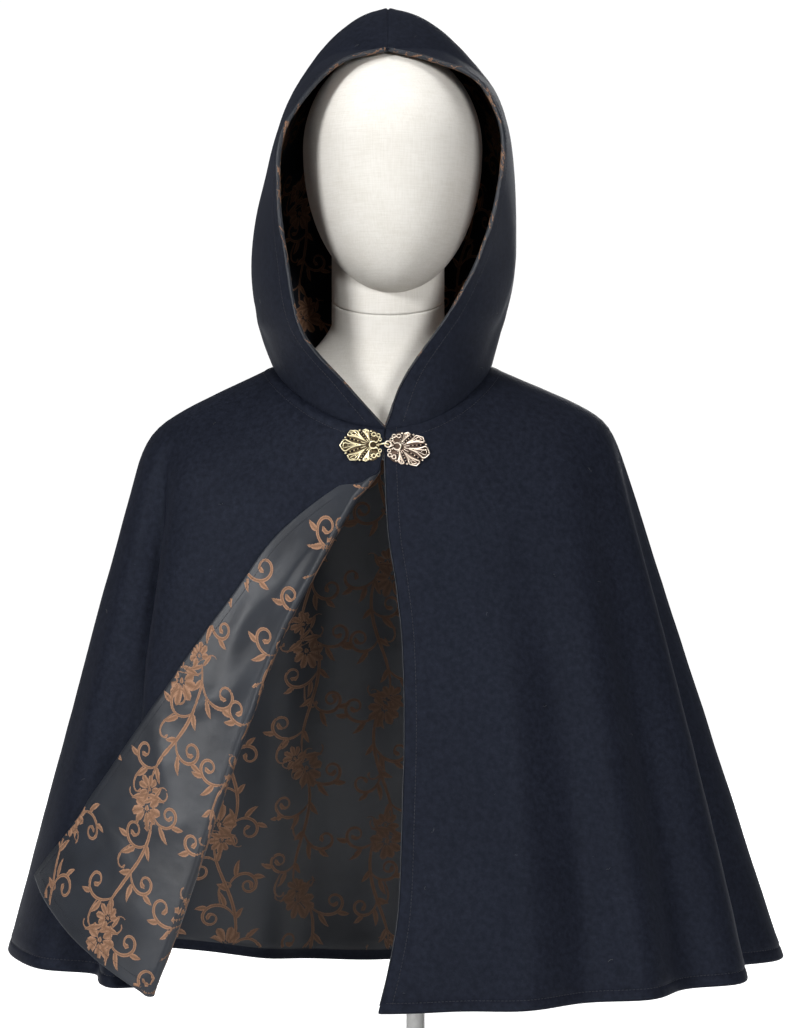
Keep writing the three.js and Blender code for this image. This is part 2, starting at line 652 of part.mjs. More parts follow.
/** The pierced fan plate, lying flat from the origin along +X, with its face up +Z. */
function plateBlank() {
  const point = (angle, share) => {
    const reach = share * plateReach(angle);
    return new THREE.Vector2(CLASP.narrow + reach * Math.cos(angle), reach * Math.sin(angle));
  };
  const outline = [];
  for (let k = 0; k < CLASP.corners; k += 1) outline.push(point(2 * Math.PI * k / CLASP.corners, 1));
  const shape = new THREE.Shape(outline);
  for (let lobe = -2; lobe <= 2; lobe += 1) {
    const angle = lobe * Math.PI / CLASP.lobes;
    for (const hole of PLATE_HOLES) {
      const centre = point(angle, hole.at);
      const long = hole.long * plateReach(angle);
      const cut = new THREE.Path();
      cut.absellipse(centre.x, centre.y, long, hole.wide, 0, 2 * Math.PI, true, angle);
      shape.holes.push(cut);
    }
  }
  return new THREE.ExtrudeGeometry(shape, { depth: CLASP.thick, bevelEnabled: false, curveSegments: 2 });
}

/** The hook that reaches from one plate into the other's ring, as a bent wire. */
function hook() {
  const points = HOOK_ROUTE.map(({ along, high }) => new THREE.Vector3(along, 0, high));
  const extrudePath = new THREE.CatmullRomCurve3(points);
  const section = new THREE.Shape().absarc(0, 0, CLASP.wire, 0, 2 * Math.PI);
  const settings = { steps: 10, extrudePath, curveSegments: 3, bevelEnabled: false };
  return new THREE.ExtrudeGeometry(section, settings);
}

/** The ring on the other plate, with the neck that joins it. */
function eye() {
  const ring = new THREE.TorusGeometry(CLASP.ring, CLASP.wire, 6, 16);
  ring.translate(-CLASP.ring, 0, CLASP.ringHeight);
  const neck = new THREE.BoxGeometry(RING_NECK.long, RING_NECK.wide, RING_NECK.thick);
  neck.translate(RING_NECK.along, 0, RING_NECK.high);
  return toSolid(ring).add(toSolid(neck));
}

/** One clasp plate with its hook or ring, laid on the cape where it is sewn. */
function claspPlate(place) {
  const fitting = place.mirror ? toSolid(hook()) : eye();
  const geometry = toGeometry(toSolid(plateBlank()).add(fitting));
  const outward = outwardOf(capePoint, place.bearing, place.down, CAPE_LIMITS);
  const level = new THREE.Vector3(place.mirror ? -1 : 1, 0, 0);
  const along = level.clone().addScaledVector(outward, -level.dot(outward)).normalize();
  along.applyAxisAngle(outward, place.tilt * DEG);
  const upward = outward.clone().cross(along);
  const at = capePoint(place.bearing, place.down).addScaledVector(outward, CLASP.lift);
  const matrix = new THREE.Matrix4().makeBasis(along, upward, outward).setPosition(at);
  geometry.applyMatrix4(matrix);
  return geometry;
}

const LAYERS = [["wool", WOOL, FINISH.wool], ["lining", LINING, FINISH.lining]];
for (const [cloth, layer, finish] of LAYERS) {
  place(`back_${cloth}`, capePanel(BACK_PANEL, layer, { first: true, last: true }), finish);
  place(`front_left_${cloth}`, capePanel(LEFT_PANEL, layer, { first: false, last: true }), finish);
  place(`front_right_${cloth}`, turnedPanel(RIGHT_PANEL, layer), finish);
  place(`hood_left_${cloth}`, hoodHalf(HOOD_LEFT, 1, layer), finish);
  place(`hood_right_${cloth}`, hoodHalf(HOOD_RIGHT, -1, layer), finish);
}
for (const plate of CLASP_PLACES) place(plate.node, claspPlate(plate), FINISH.brass);
place("form_head", headOfForm(), FINISH.linen);
place("form_shoulders", shouldersOfForm(), FINISH.linen);
place("stand_pole", pole(), FINISH.steel);
place("stand_base", base(), FINISH.steel);

export default cloak;
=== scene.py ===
"""The looks of a short hooded wool cloak with a scroll-patterned lining, on a display form.

Everything is worked out in millimetres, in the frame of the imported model, and turned into metres
when a mesh is made. The cloak faces -Y, and the wearer's left is +X.
"""

import logging
import math
from dataclasses import dataclass, field
from enum import Enum
from random import Random
from typing import Callable

import bpy
import numpy as np
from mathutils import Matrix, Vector, noise
from mathutils.geometry import tessellate_polygon


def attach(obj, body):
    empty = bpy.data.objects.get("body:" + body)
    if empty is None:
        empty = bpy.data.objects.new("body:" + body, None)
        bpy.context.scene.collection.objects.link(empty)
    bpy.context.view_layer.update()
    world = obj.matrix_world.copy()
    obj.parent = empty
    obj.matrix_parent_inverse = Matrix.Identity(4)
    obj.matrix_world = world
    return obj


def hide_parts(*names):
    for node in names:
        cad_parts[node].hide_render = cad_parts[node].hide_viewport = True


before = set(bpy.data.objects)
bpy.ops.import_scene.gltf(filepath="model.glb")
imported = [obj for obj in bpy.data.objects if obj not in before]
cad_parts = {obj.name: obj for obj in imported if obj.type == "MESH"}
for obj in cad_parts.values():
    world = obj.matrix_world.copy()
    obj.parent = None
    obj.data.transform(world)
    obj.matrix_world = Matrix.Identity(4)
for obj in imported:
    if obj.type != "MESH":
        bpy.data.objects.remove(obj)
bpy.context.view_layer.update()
LOG = logging.getLogger("cloak")

METRES = 0.001
SEAM = 0.3
Grid = np.ndarray
Surface = Callable[[Grid, Grid], Grid]


class Side(Enum):
    """The wearer's left or right, as the sign of X."""

    LEFT = 1
    RIGHT = -1


class Cloth(Enum):
    """How deep a layer lies in the garment, from its outer face to its inner face."""

    WOOL = (0.0, 2.0)
    LINING = (2.3, 3.3)


class Stroke(Enum):
    """The outline of one stroke of the scroll pattern."""

    VINE = "vine"
    CURL = "curl"
    LEAF = "leaf"
    PETAL = "petal"


def unit(vectors: Grid) -> Grid:
    """Scales vectors to length one."""
    return vectors / np.maximum(np.linalg.norm(vectors, axis=-1, keepdims=True), 1e-12)


def heading_of(degrees: float | Grid) -> Grid:
    """The flat direction of an angle, or of each of several."""
    return np.stack([np.cos(np.radians(degrees)), np.sin(np.radians(degrees))], -1)


def smoothstep(at: Grid, low: float, high: float) -> Grid:
    """Rises softly from 0 at low to 1 at high."""
    part = np.clip((np.asarray(at, float) - low) / (high - low), 0, 1)
    return part * part * (3 - 2 * part)


def unevenness(points: Grid, size: float, seed: float = 0.0) -> Grid:
    """Soft noise at points.

    Args:
        points: places in millimetres, in the last axis.
        size: the width of one bump in millimetres.
        seed: shifts the noise.

    Returns:
        One value for each point, from about -1 to 1.
    """
    flat = points.reshape(-1, 3) / size + seed
    return np.array([noise.noise(Vector(p)) for p in flat]).reshape(points.shape[:-1])


def dip(away: Grid, groove: tuple[float, float]) -> Grid:
    """The depth of a groove, given by its depth and half width, at distances from its middle."""
    return groove[0] * np.exp(-((away / groove[1]) ** 2))


@dataclass(frozen=True)
class Table:
    """Rows of values, read between the rows along a smooth curve."""

    columns: tuple[str, ...]
    rows: tuple[tuple[float, ...], ...]

    def read(self, column: str, at: Grid) -> Grid:
        """Reads a column.

        Args:
            column: its name.
            at: places along the first column.

        Returns:
            The values there.
        """
        data = np.array(self.rows, float)
        keys, values = data[:, 0], data[:, self.columns.index(column)]
        last = len(keys) - 1
        held = np.clip(at, keys[0], keys[-1])
        row = np.searchsorted(keys[1:-1], held, side="left")
        before = np.maximum(np.arange(last + 1) - 1, 0)
        after = np.minimum(np.arange(last + 1) + 1, last)
        slope = (values[after] - values[before]) / (keys[after] - keys[before])
        span = keys[row + 1] - keys[row]
        part = (held - keys[row]) / span
        rest = 1 - part
        return (
            values[row] * (1 + 2 * part) * rest**2
            + values[row + 1] * part**2 * (3 - 2 * part)
            + span * slope[row] * part * rest**2
            - span * slope[row + 1] * part**2 * rest
        )


@dataclass(frozen=True)
class Ring:
    """A ring round the body that the cape hangs from."""

    left: float
    right: float
    front: float
    back: float
    left_height: float
    right_height: float
    front_height: float
    back_height: float
    flat: float

    def point(self, bearing: Grid) -> Grid:
        """Places on the ring.

        Args:
            bearing: degrees, 0 in front and 90 on the wearer's left.

        Returns:
            The places, in millimetres.
        """
        side, fore = np.sin(np.radians(bearing)), np.cos(np.radians(bearing))
        side_height = np.where(side > 0, self.left_height, self.right_height)
        end_height = np.where(fore > 0, self.front_height, self.back_height)
        x = side * np.where(side > 0, self.left, self.right)
        y = -fore * np.where(fore > 0, self.front, self.back)
        return np.stack([x, y, side_height + (end_height - side_height) * np.abs(fore) ** self.flat], -1)


@dataclass(frozen=True)
class Crease:
    """A soft trough or ridge between two places of the cloth, by its two coordinates there."""

    start: tuple[float, float]
    end: tuple[float, float]
    width: float
    height: float


@dataclass
class CapeShape:
    """The cape: where its cloth hangs, its folds, and its turned-back front."""

    neck: Ring = Ring(90, 100, 95, 75, 623, 623, 567, 645, 1.6)
    shoulder: Ring = Ring(196, 209, 126, 112, 578, 571, 462, 572, 2)
    hem: Ring = Ring(343, 329, 226, 212, 112, 120, 99, 78, 2)
    shoulder_down: float = 0.2
    shoulder_ease: float = 0.022
    folds: Table = Table(
        ("shoulder", "hem", "width", "out", "ease"),
        (
            (13, 11, 5, -6, 1.0), (22, 19, 5, 8, 1.0), (34, 29, 5, -9, 0.9), (46, 38, 5, 9, 0.9),
            (58, 47, 5, -11, 0.9), (72, 57, 5, 9, 0.8), (84, 72, 8, -34, 0.8), (106, 108, 8, 9, 1),
            (122, 124, 7, -15, 1), (138, 140, 8, 8, 1), (157, 157, 7, -12, 1.2), (172, 172, 8, 7, 1.2),
            (186, 185, 6, -7, 1.2), (202, 201, 6, -20, 1), (217, 216, 8, 12, 1), (234, 231, 7, -14, 1),
            (250, 249, 8, 8, 1), (295, 306, 6, -32, 0.55), (291, 320, 2.8, -30, 0.75),
        ),
    )
    left_edge: Table = Table(
        ("down", "side"),
        ((0, -1.2), (0.06, -1.2), (0.17, 2), (0.25, 8), (0.35, 13), (0.5, 15), (0.68, 13),
         (0.83, 10), (0.92, 3), (1, -6)),
    )
    edge_spread: float = 50
    right_closing: float = -2.8
    turn_back: Table = Table(
        ("down", "swing", "edge_swing", "edge_down"),
        (
            (0, 0, 0, 0), (0.05, 1.4, 1.4, 0.05), (0.09, 6.2, 6.2, 0.09), (0.12, 9.8, 14, 0.106),
            (0.23, 15.4, 23.5, 0.19), (0.37, 21.8, 32.2, 0.33), (0.52, 26, 40.5, 0.466),
            (0.66, 29.2, 48.4, 0.6), (0.81, 32, 56.5, 0.724), (0.91, 33.9, 62.6, 0.8),
            (1, 36, 71, 0.873),
        ),
    )
    turn_start: float = 0.05
    turn_full: float = 0.09
    turn_gap: float = 3
    lean_from: float = 230
    fold_step: float = 0.01
    creases: tuple[Crease, ...] = (
        Crease((30, 0.08), (52, 0.3), 16, -1.4),
        Crease((52, 0.22), (44, 0.62), 15, 1.5),
        Crease((66, 0.18), (58, 0.5), 12, -1.6),
        Crease((24, 0.42), (17, 0.9), 17, 1.6),
        Crease((36, 0.55), (30, 0.98), 14, -1.5),
        Crease((326, 0.1), (306, 0.3), 15, -1.3),
        Crease((322, 0.3), (318, 0.72), 16, 1.4),
        Crease((284, 0.25), (286, 0.8), 13, 1.8),
        Crease((274, 0.3), (270, 0.9), 14, -1.8),
        Crease((100, 0.24), (98, 0.7), 16, -1.8),
        Crease((130, 0.3), (134, 0.85), 16, 1.8),
        Crease((164, 0.12), (163, 0.45), 16, -1.5),
        Crease((178, 0.4), (180, 0.95), 18, 1.7),
        Crease((210, 0.22), (208, 0.6), 14, -1.8),
        Crease((242, 0.3), (240, 0.92), 15, 1.7),
    )
    flap_creases: tuple[Crease, ...] = (
        Crease((0.15, 0.2), (0.6, 0.42), 10, 1.8),
        Crease((0.85, 0.3), (0.45, 0.52), 9, 1.5),
        Crease((0.2, 0.5), (0.75, 0.6), 10, 2.2),
        Crease((0.95, 0.62), (0.35, 0.72), 9, 2.4),
        Crease((0.1, 0.74), (0.7, 0.8), 11, 2.4),
        Crease((0.98, 0.82), (0.4, 0.86), 9, 2.6),
        Crease((0.15, 0.9), (0.85, 0.95), 12, 2.0),
    )

    def lengths(self, down: Grid) -> tuple[Grid, Grid]:
        """How much of the cloth lies over the shoulder and how much hangs.

        Args:
            down: sections, from 0 at the neck to 1 at the hem.

        Returns:
            The share over the shoulder and the share that hangs.
        """
        def bend(at: Grid) -> Grid:
            """Rises from 0, past the shoulder's edge."""
            return self.shoulder_ease * np.log1p(np.exp((at - self.shoulder_down) / self.shoulder_ease))

        first, last = bend(np.float64(0)), bend(np.float64(1))
        hang = (bend(down) - first) / (last - first)
        over = (down - bend(down) + first) / (1 - last + first)
        return over, hang

    def fold_out(self, bearing: Grid, hang: Grid) -> Grid:
        """How far the folds stand out.

        Args:
            bearing: degrees round the body.
            hang: the share of the cloth that hangs.

        Returns:
            The distances, in millimetres.
        """
        total = np.zeros(np.broadcast(bearing, hang).shape)
        for shoulder, hem, width, out, ease in self.folds.rows:
            reach = (bearing - (shoulder + (hem - shoulder) * hang)) / width
            total += out * np.exp(-reach * reach) * np.maximum(hang, 0) ** ease
        return total

    def surface(self, bearing: Grid, down: Grid, folded: float = 1.0) -> Grid:
        """Places on the cape's outer face.

        Args:
            bearing: degrees round the body.
            down: sections.
            folded: 1 with the folds and 0 without.

        Returns:
            The places.
        """
        bearing, down = np.broadcast_arrays(np.asarray(bearing, float), np.asarray(down, float))
        over, hang = self.lengths(down)
        neck, shoulder, hem = (r.point(bearing) for r in (self.neck, self.shoulder, self.hem))
        at = neck + (shoulder - neck) * over[..., None] + (hem - shoulder) * hang[..., None]
        aside, ahead = np.sin(np.radians(bearing)) / self.hem.left, -np.cos(np.radians(bearing)) / self.hem.front
        away = unit(np.stack([aside, ahead, np.zeros_like(aside)], -1))
        return at + away * (folded * self.fold_out(bearing, hang))[..., None]

    def smooth(self, bearing: Grid, down: Grid) -> Grid:
        """Places on the cape's outer face without its folds."""
        return self.surface(bearing, down, 0.0)

    def cape(self, turn: Grid, down: Grid) -> Grid:
        """Places on the hanging cape, with both front edges drawn to where they hang.

        Args:
            turn: degrees round the cloth, from the left front edge.
            down: sections.

        Returns:
            The places.
        """
        turn, down = np.broadcast_arrays(np.asarray(turn, float), np.asarray(down, float))
        lean = np.maximum(turn - self.lean_from, 0) / (360 - self.lean_from)
        at = self.surface(turn - self.turn_back.read("swing", down) * lean**2, down)
        at[..., 0] += (1 - smoothstep(turn, 0, self.edge_spread)) * self.left_edge.read("side", down)
        at[..., 0] += smoothstep(turn, 360 - self.edge_spread, 360) * self.right_closing * (1 - down)
        return at

    def roll(self, down: Grid, part: Grid) -> tuple[Grid, Grid]:
        """Places on the roll at the fold, and the way into the cloth there.

        Args:
            down: sections.
            part: 0 at the hanging panel's edge and 1 turned right over.

        Returns:
            The places and the directions.
        """
        down, part = np.broadcast_arrays(np.asarray(down, float), np.asarray(part, float))
        end = np.full(down.shape, 360.0)
        out = outward_of(self.cape, end, down)
        lower, upper = np.minimum(down + self.fold_step, 1), np.maximum(down - self.fold_step, 0)
        line = unit(self.cape(end, lower) - self.cape(end, upper))
        across = unit(np.cross(out, line))
        angle = (np.pi * part)[..., None]
        into = -np.cos(angle) * out + np.sin(angle) * across
        return self.cape(end, down) + (out + into) * self.turn_gap / 2, into

    def flap(self, down: Grid, part: Grid) -> tuple[Grid, Grid]:
        """Places on the turned flap.

        Args:
            down: sections.
            part: 0 at the fold and 1 at the flap's own edge.

        Returns:
            The places and the ways into the cloth.
        """
        down, part = np.broadcast_arrays(np.asarray(down, float), np.asarray(part, float))
        swing, edge = self.turn_back.read("swing", down), self.turn_back.read("edge_swing", down)
        bearing = 360 - (swing + (edge - swing) * part)
        section = down + (self.turn_back.read("edge_down", down) - down) * part
        at = self.smooth(bearing, section)
        at[..., 0] += self.right_closing * (1 - down)
        into = outward_of(self.smooth, bearing, section, (-90, 450))
        return at + into * self.turn_gap, into

    def creased(self, at: Grid) -> Grid:
        """How far the small creases and the cloth's softness move places in or out."""
        moved = 0.55 * unevenness(at, 46, 3.1) + 0.22 * unevenness(at, 17, 8.7)
        return moved + crease_height(at, self.creases, self.cape)


def outward_of(
    surface: Surface, u: Grid, v: Grid,
    u_limits: tuple[float, float] = (0, 360), v_limits: tuple[float, float] = (0, 1),
) -> Grid:
    """The way out of a surface, from small steps along its two directions.

    Args:
        surface: gives places from two coordinates.
        u: the first coordinate.
        v: the second coordinate.
        u_limits: the least and greatest u.
        v_limits: the least and greatest v.

    Returns:
        Unit vectors.
    """
    u_step, v_step = 1e-3 * (u_limits[1] - u_limits[0]), 1e-3 * (v_limits[1] - v_limits[0])
    down = surface(u, np.minimum(v + v_step, v_limits[1])) - surface(u, np.maximum(v - v_step, v_limits[0]))
    along = surface(np.minimum(u + u_step, u_limits[1]), v) - surface(np.maximum(u - u_step, u_limits[0]), v)
    return unit(np.cross(down, along))


def crease_height(at: Grid, creases: tuple[Crease, ...], surface: Surface) -> Grid:
    """Sums soft creases.

    Args:
        at: places on the cloth.
        creases: the creases, by the surface's two coordinates.
        surface: gives the places of their ends.

    Returns:
        The height at each place, in millimetres.
    """
    total = np.zeros(at.shape[:-1])
    for crease in creases:
        ends = surface(np.array([crease.start[0], crease.end[0]]), np.array([crease.start[1], crease.end[1]]))
        line = ends[1] - ends[0]
        along = np.clip(((at - ends[0]) @ line) / (line @ line), 0, 1)
        away = np.linalg.norm(at - ends[0] - along[..., None] * line, axis=-1)
        total += crease.height * np.exp(-((away / crease.width) ** 2)) * np.sin(np.pi * (0.12 + 0.76 * along))
    return total


@dataclass
class HoodShape:
    """The hood: two halves from the face opening to a seam over the head."""

    columns = ("up", "front_x", "front_y", "front_z", "side_x", "side_y", "side_z")
    neck: Ring = CapeShape.neck
    top: tuple[float, float, float] = (0, -62, 891)
    lift: float = 0.1
    blend: float = 0.2
    last: float = 0.97
    left: Table = Table(
        columns,
        (
            (0, -1.2, -95, 567, 90, 0, 623), (0.12, 16, -97, 610, 99, 0, 658),
            (0.27, 53, -98, 663, 110, 2, 700), (0.42, 80, -97, 715, 112, 4, 745),
            (0.56, 95, -94, 770, 110, 6, 795), (0.69, 97, -88, 820, 104, 4, 833),
            (0.8, 77, -78, 862, 90, -4, 866), (0.9, 41, -68, 880, 52, -20, 893),
            (1, 0.5, -62, 891, 1, -62, 891),
        ),
    )
    right: Table = Table(
        columns,
        (
            (0, 2.8, -95, 567, 100, 0, 623), (0.12, 35, -97, 602, 111, 0, 655),
            (0.27, 73, -98, 647, 118, 2, 690), (0.42, 86, -97, 706, 118, 4, 735),
            (0.56, 93, -94, 762, 108, 6, 785), (0.69, 90, -88, 814, 97, 4, 826),
            (0.8, 68, -78, 852, 82, -4, 860), (0.9, 39, -68, 880, 50, -20, 890),
            (1, 0.5, -62, 891, 1, -62, 891),
        ),
    )
    seam: Table = Table(
        ("up", "y", "z"),
        (
            (0, 75, 645), (0.12, 104, 680), (0.27, 133, 735), (0.42, 148, 790), (0.56, 146, 850),
            (0.69, 122, 897), (0.8, 75, 930), (0.9, 20, 937), (1, -62, 891),
        ),
    )
    creases: tuple[Crease, ...] = (
        Crease((0.04, 0.1), (0.34, 0.2), 9, -2.0),
        Crease((0.12, 0.26), (0.4, 0.16), 8, 1.8),
        Crease((0.3, 0.05), (0.36, 0.3), 10, -1.8),
        Crease((0.46, 0.3), (0.7, 0.5), 15, 1.8),
        Crease((0.5, 0.12), (0.74, 0.26), 12, -2.2),
        Crease((0.8, 0.35), (0.86, 0.7), 14, -1.6),
        Crease((0.4, 0.6), (0.7, 0.74), 14, -1.5),
    )

    def point(self, side: Side, part: Grid, up: Grid) -> Grid:
        """Places on a half.

        Args:
            side: which half.
            part: 0 at the face opening and 1 at the centre seam.
            up: 0 at the neck seam and 1 at the top of the opening.

        Returns:
            The places, in millimetres.
        """
        part, up = np.broadcast_arrays(np.asarray(part, float), np.asarray(up, float))
        table = self.left if side is Side.LEFT else self.right
        front_x, front_y, front_z, width, side_y, side_z = (table.read(c, up) for c in self.columns[1:])
        seam_y, seam_z = self.seam.read("y", up), self.seam.read("z", up)
        start = np.arcsin(np.clip(front_x / width, -1, 1))
        first = np.cos(start)
        angle = start + (np.pi - start) * part
        fore = np.cos(angle)
        depth = np.where(fore > 0, (front_y - side_y) / first, side_y - seam_y)
        rise = (front_z - side_z - first**2 * (seam_z - side_z)) / (first * (1 + first))
        z = side_z + rise * fore + (seam_z - side_z + rise) * fore**2
        n = self.neck
        plain = n.left_height + (n.front_height - n.back_height) / 2 * fore
        plain += ((n.front_height + n.back_height) / 2 - n.left_height) * fore**2
        near = np.maximum(1 - up / self.blend, 0)
        z += near**2 * (n.point(side.value * np.degrees(angle))[..., 2] - plain)
        return np.stack([side.value * width * np.sin(angle), side_y + depth * fore, z], -1)

    def half(self, side: Side, parts: Grid, ups: Grid) -> tuple[Grid, Grid]:
        """A half as a grid, with its creases.

        Args:
            side: which half.
            parts: the columns, from 0 at the face opening.
            ups: the rows, from 0 at the neck seam.

        Returns:
            The places and the ways into the cloth.
        """
        part, up = np.meshgrid(parts, ups)
        into = side.value * outward_of(
            lambda u, v: self.point(side, u, v), part, np.minimum(up, self.last), (0, 1), (0, self.last)
        )
        at = self.point(side, part, up)
        at[up == 1] = self.top
        middle = (part == 1) | (up == 1)
        at[middle, 0] = side.value * SEAM / 2
        into[middle, 0] = 0
        into[up == 0, 2] = 0
        into = unit(into)
        at[up == 0, 2] += self.lift
        moved = 0.6 * unevenness(at, 38, 1.7) + crease_height(at, self.creases, lambda u, v: self.point(side, u, v))
        free = smoothstep(part, 0, 0.05) * smoothstep(1 - part, 0, 0.06) * smoothstep(up, 0, 0.06)
        free = free * (1 - smoothstep(up, 0.9, 1))
        return at - into * (moved * free)[..., None], into


@dataclass
class Wall:
    """A closed wall of cloth over a grid of places, with its long edges rounded."""

    name: str
    at: Grid
    into: Grid
    depth: Grid
    from_depth: Grid | float
    bulge: float = 0.7
    flat: Grid | None = None

    def build(self, material: bpy.types.Material) -> bpy.types.Object:
        """Makes the wall.

        Args:
            material: the cloth's finish.

        Returns:
            The mesh object.
        """
        near = np.broadcast_to(np.asarray(self.from_depth, float), self.depth.shape)
        outer = self.at + self.into * near[..., None]
        inner = self.at + self.into * self.depth[..., None]
        rows, columns = self.depth.shape
        index = np.arange(rows * columns).reshape(rows, columns)
        a, b, c, d = index[:-1, :-1], index[:-1, 1:], index[1:, 1:], index[1:, :-1]
        back = rows * columns
        faces = [np.stack([a, d, c, b], -1).reshape(-1, 4)]
        faces.append(np.stack([a, b, c, d], -1).reshape(-1, 4) + back)
        rim = np.concatenate([index[0, :-1], index[:-1, -1], index[-1, :0:-1], index[:0:-1, 0]])
        points = [outer.reshape(-1, 3), inner.reshape(-1, 3)]
        top, low = points[0][rim], points[1][rim]
        centre, half = (top + low) / 2, (top - low) / 2
        inside = (np.roll(top, -1, 0) - np.roll(top, 1, 0) + np.roll(low, -1, 0) - np.roll(low, 1, 0)) / 2
        away = unit(np.cross(half, inside))
        loops, size = [rim], back * 2
        for angle in (45, 90, 135):
            swell = self.bulge * np.linalg.norm(half, axis=1, keepdims=True) * math.sin(math.radians(angle))
            points.append(centre + half * math.cos(math.radians(angle)) + away * swell)
            loops.append(np.arange(len(rim)) + size)
            size += len(rim)
        loops.append(rim + back)
        for this, other in zip(loops, loops[1:]):
            faces.append(np.stack([this, np.roll(this, -1), np.roll(other, -1), other], -1))
        uv = None
        if self.flat is not None:
            plain = self.flat.reshape(-1, 2)
            uv = np.concatenate([plain, plain, plain[rim], plain[rim], plain[rim]]) * METRES
        return make_mesh(self.name, np.concatenate(points), np.concatenate(faces), material, uv)


def make_mesh(
    name: str, points: Grid, faces: Grid | list, material: bpy.types.Material, uv: Grid | None = None
) -> bpy.types.Object:
    """Makes a mesh object, with equal points made one and flat faces dropped.

    Args:
        name: the piece's name.
        points: places in millimetres.
        faces: the corners of each face.
        material: its finish.
        uv: a texture place for each point, in metres of cloth.

    Returns:
        The mesh object, smooth-shaded, linked to the scene.
    """
    keys = np.round(points / 0.0005).astype(np.int64)
    _, first, renamed = np.unique(keys, axis=0, return_index=True, return_inverse=True)
    renamed = renamed.reshape(-1)
    kept = []
    for face in faces:
        corners = [int(renamed[k]) for k in face]
        corners = [c for k, c in enumerate(corners) if c != corners[k - 1]]
        if len(set(corners)) == len(corners) >= 3:
            kept.append(corners)
    mesh = bpy.data.meshes.new(name)
    mesh.from_pydata((points[first] * METRES).tolist(), [], kept)
    if uv is not None:
        layer = mesh.uv_layers.new(name="cloth")
        corners = np.zeros(len(mesh.loops), np.int32)
        mesh.loops.foreach_get("vertex_index", corners)
        layer.data.foreach_set("uv", uv[first][corners].astype(np.float32).ravel())
    mesh.shade_smooth()
    mesh.materials.append(material)
    piece = bpy.data.objects.new(name, mesh)
    bpy.context.scene.collection.objects.link(piece)
    return piece


def lathe(profile: list[tuple[float, float]], x: float, y: float, sides: int) -> list[Grid]:
    """Rings round an upright axis.

    Args:
        profile: pairs of radius and height, from the lowest.
        x: the axis's place.
        y: its other coordinate.
        sides: how many sides the rings have.

    Returns:
        The rings.
    """
    turn = np.linspace(0, 2 * np.pi, sides, endpoint=False)
    return [
        np.column_stack([x + radius * np.cos(turn), y + radius * np.sin(turn), np.full(sides, float(height))])
        for radius, height in profile
    ]


def skin(rings: list[Grid], lids: tuple[bool, bool] = (False, False)) -> tuple[Grid, list]:
    """A skin through rings of equal length, from the lowest to the highest.

    Args:
        rings: the rings.
        lids: whether the lowest and the highest ring get a lid.

    Returns:
        Its points and faces.
    """
    sides = len(rings[0])
    side, top = np.arange(sides), (len(rings) - 1) * sides
    after = np.roll(side, -1)
    faces = []
    for start in range(0, top, sides):
        faces += (start + np.stack([side, after, after + sides, side + sides], 1)).tolist()
    points = list(np.concatenate(rings))
    if lids[0]:
        points.append(rings[0].mean(0))
        faces += [[len(points) - 1, b, a] for a, b in zip(side, after)]
    if lids[1]:
        points.append(rings[-1].mean(0))
        faces += [[len(points) - 1, top + a, top + b] for a, b in zip(side, after)]
    return np.array(points), faces


def tube(line: Grid | list, radius: float, closed: bool = False, sides: int = 8) -> tuple[Grid, list]:
    """A round wire along a line.

    Args:
        line: places along it, in millimetres.
        radius: the wire's radius.
        closed: whether its ends meet.
        sides: how many sides it has.

    Returns:
        Its points and faces.
    """
    path = np.array(line, float)
    ahead = unit(np.roll(path, -1, 0) - np.roll(path, 1, 0))
    if not closed:
        ahead[0], ahead[-1] = unit(path[1] - path[0]), unit(path[-1] - path[-2])
    side = unit(np.cross(ahead, np.array([0.13, 0.21, 0.97])))
    over = np.cross(ahead, side)
    turn = np.arange(sides) * 2 * np.pi / sides
    round_it = np.cos(turn)[None, :, None] * side[:, None] + np.sin(turn)[None, :, None] * over[:, None]
    rings = list(path[:, None] + radius * round_it)
    if closed:
        return skin([*rings, rings[0]])
    points, faces = skin(rings)
    return points, [*faces, list(range(sides))[::-1], list(range(len(points) - sides, len(points)))]


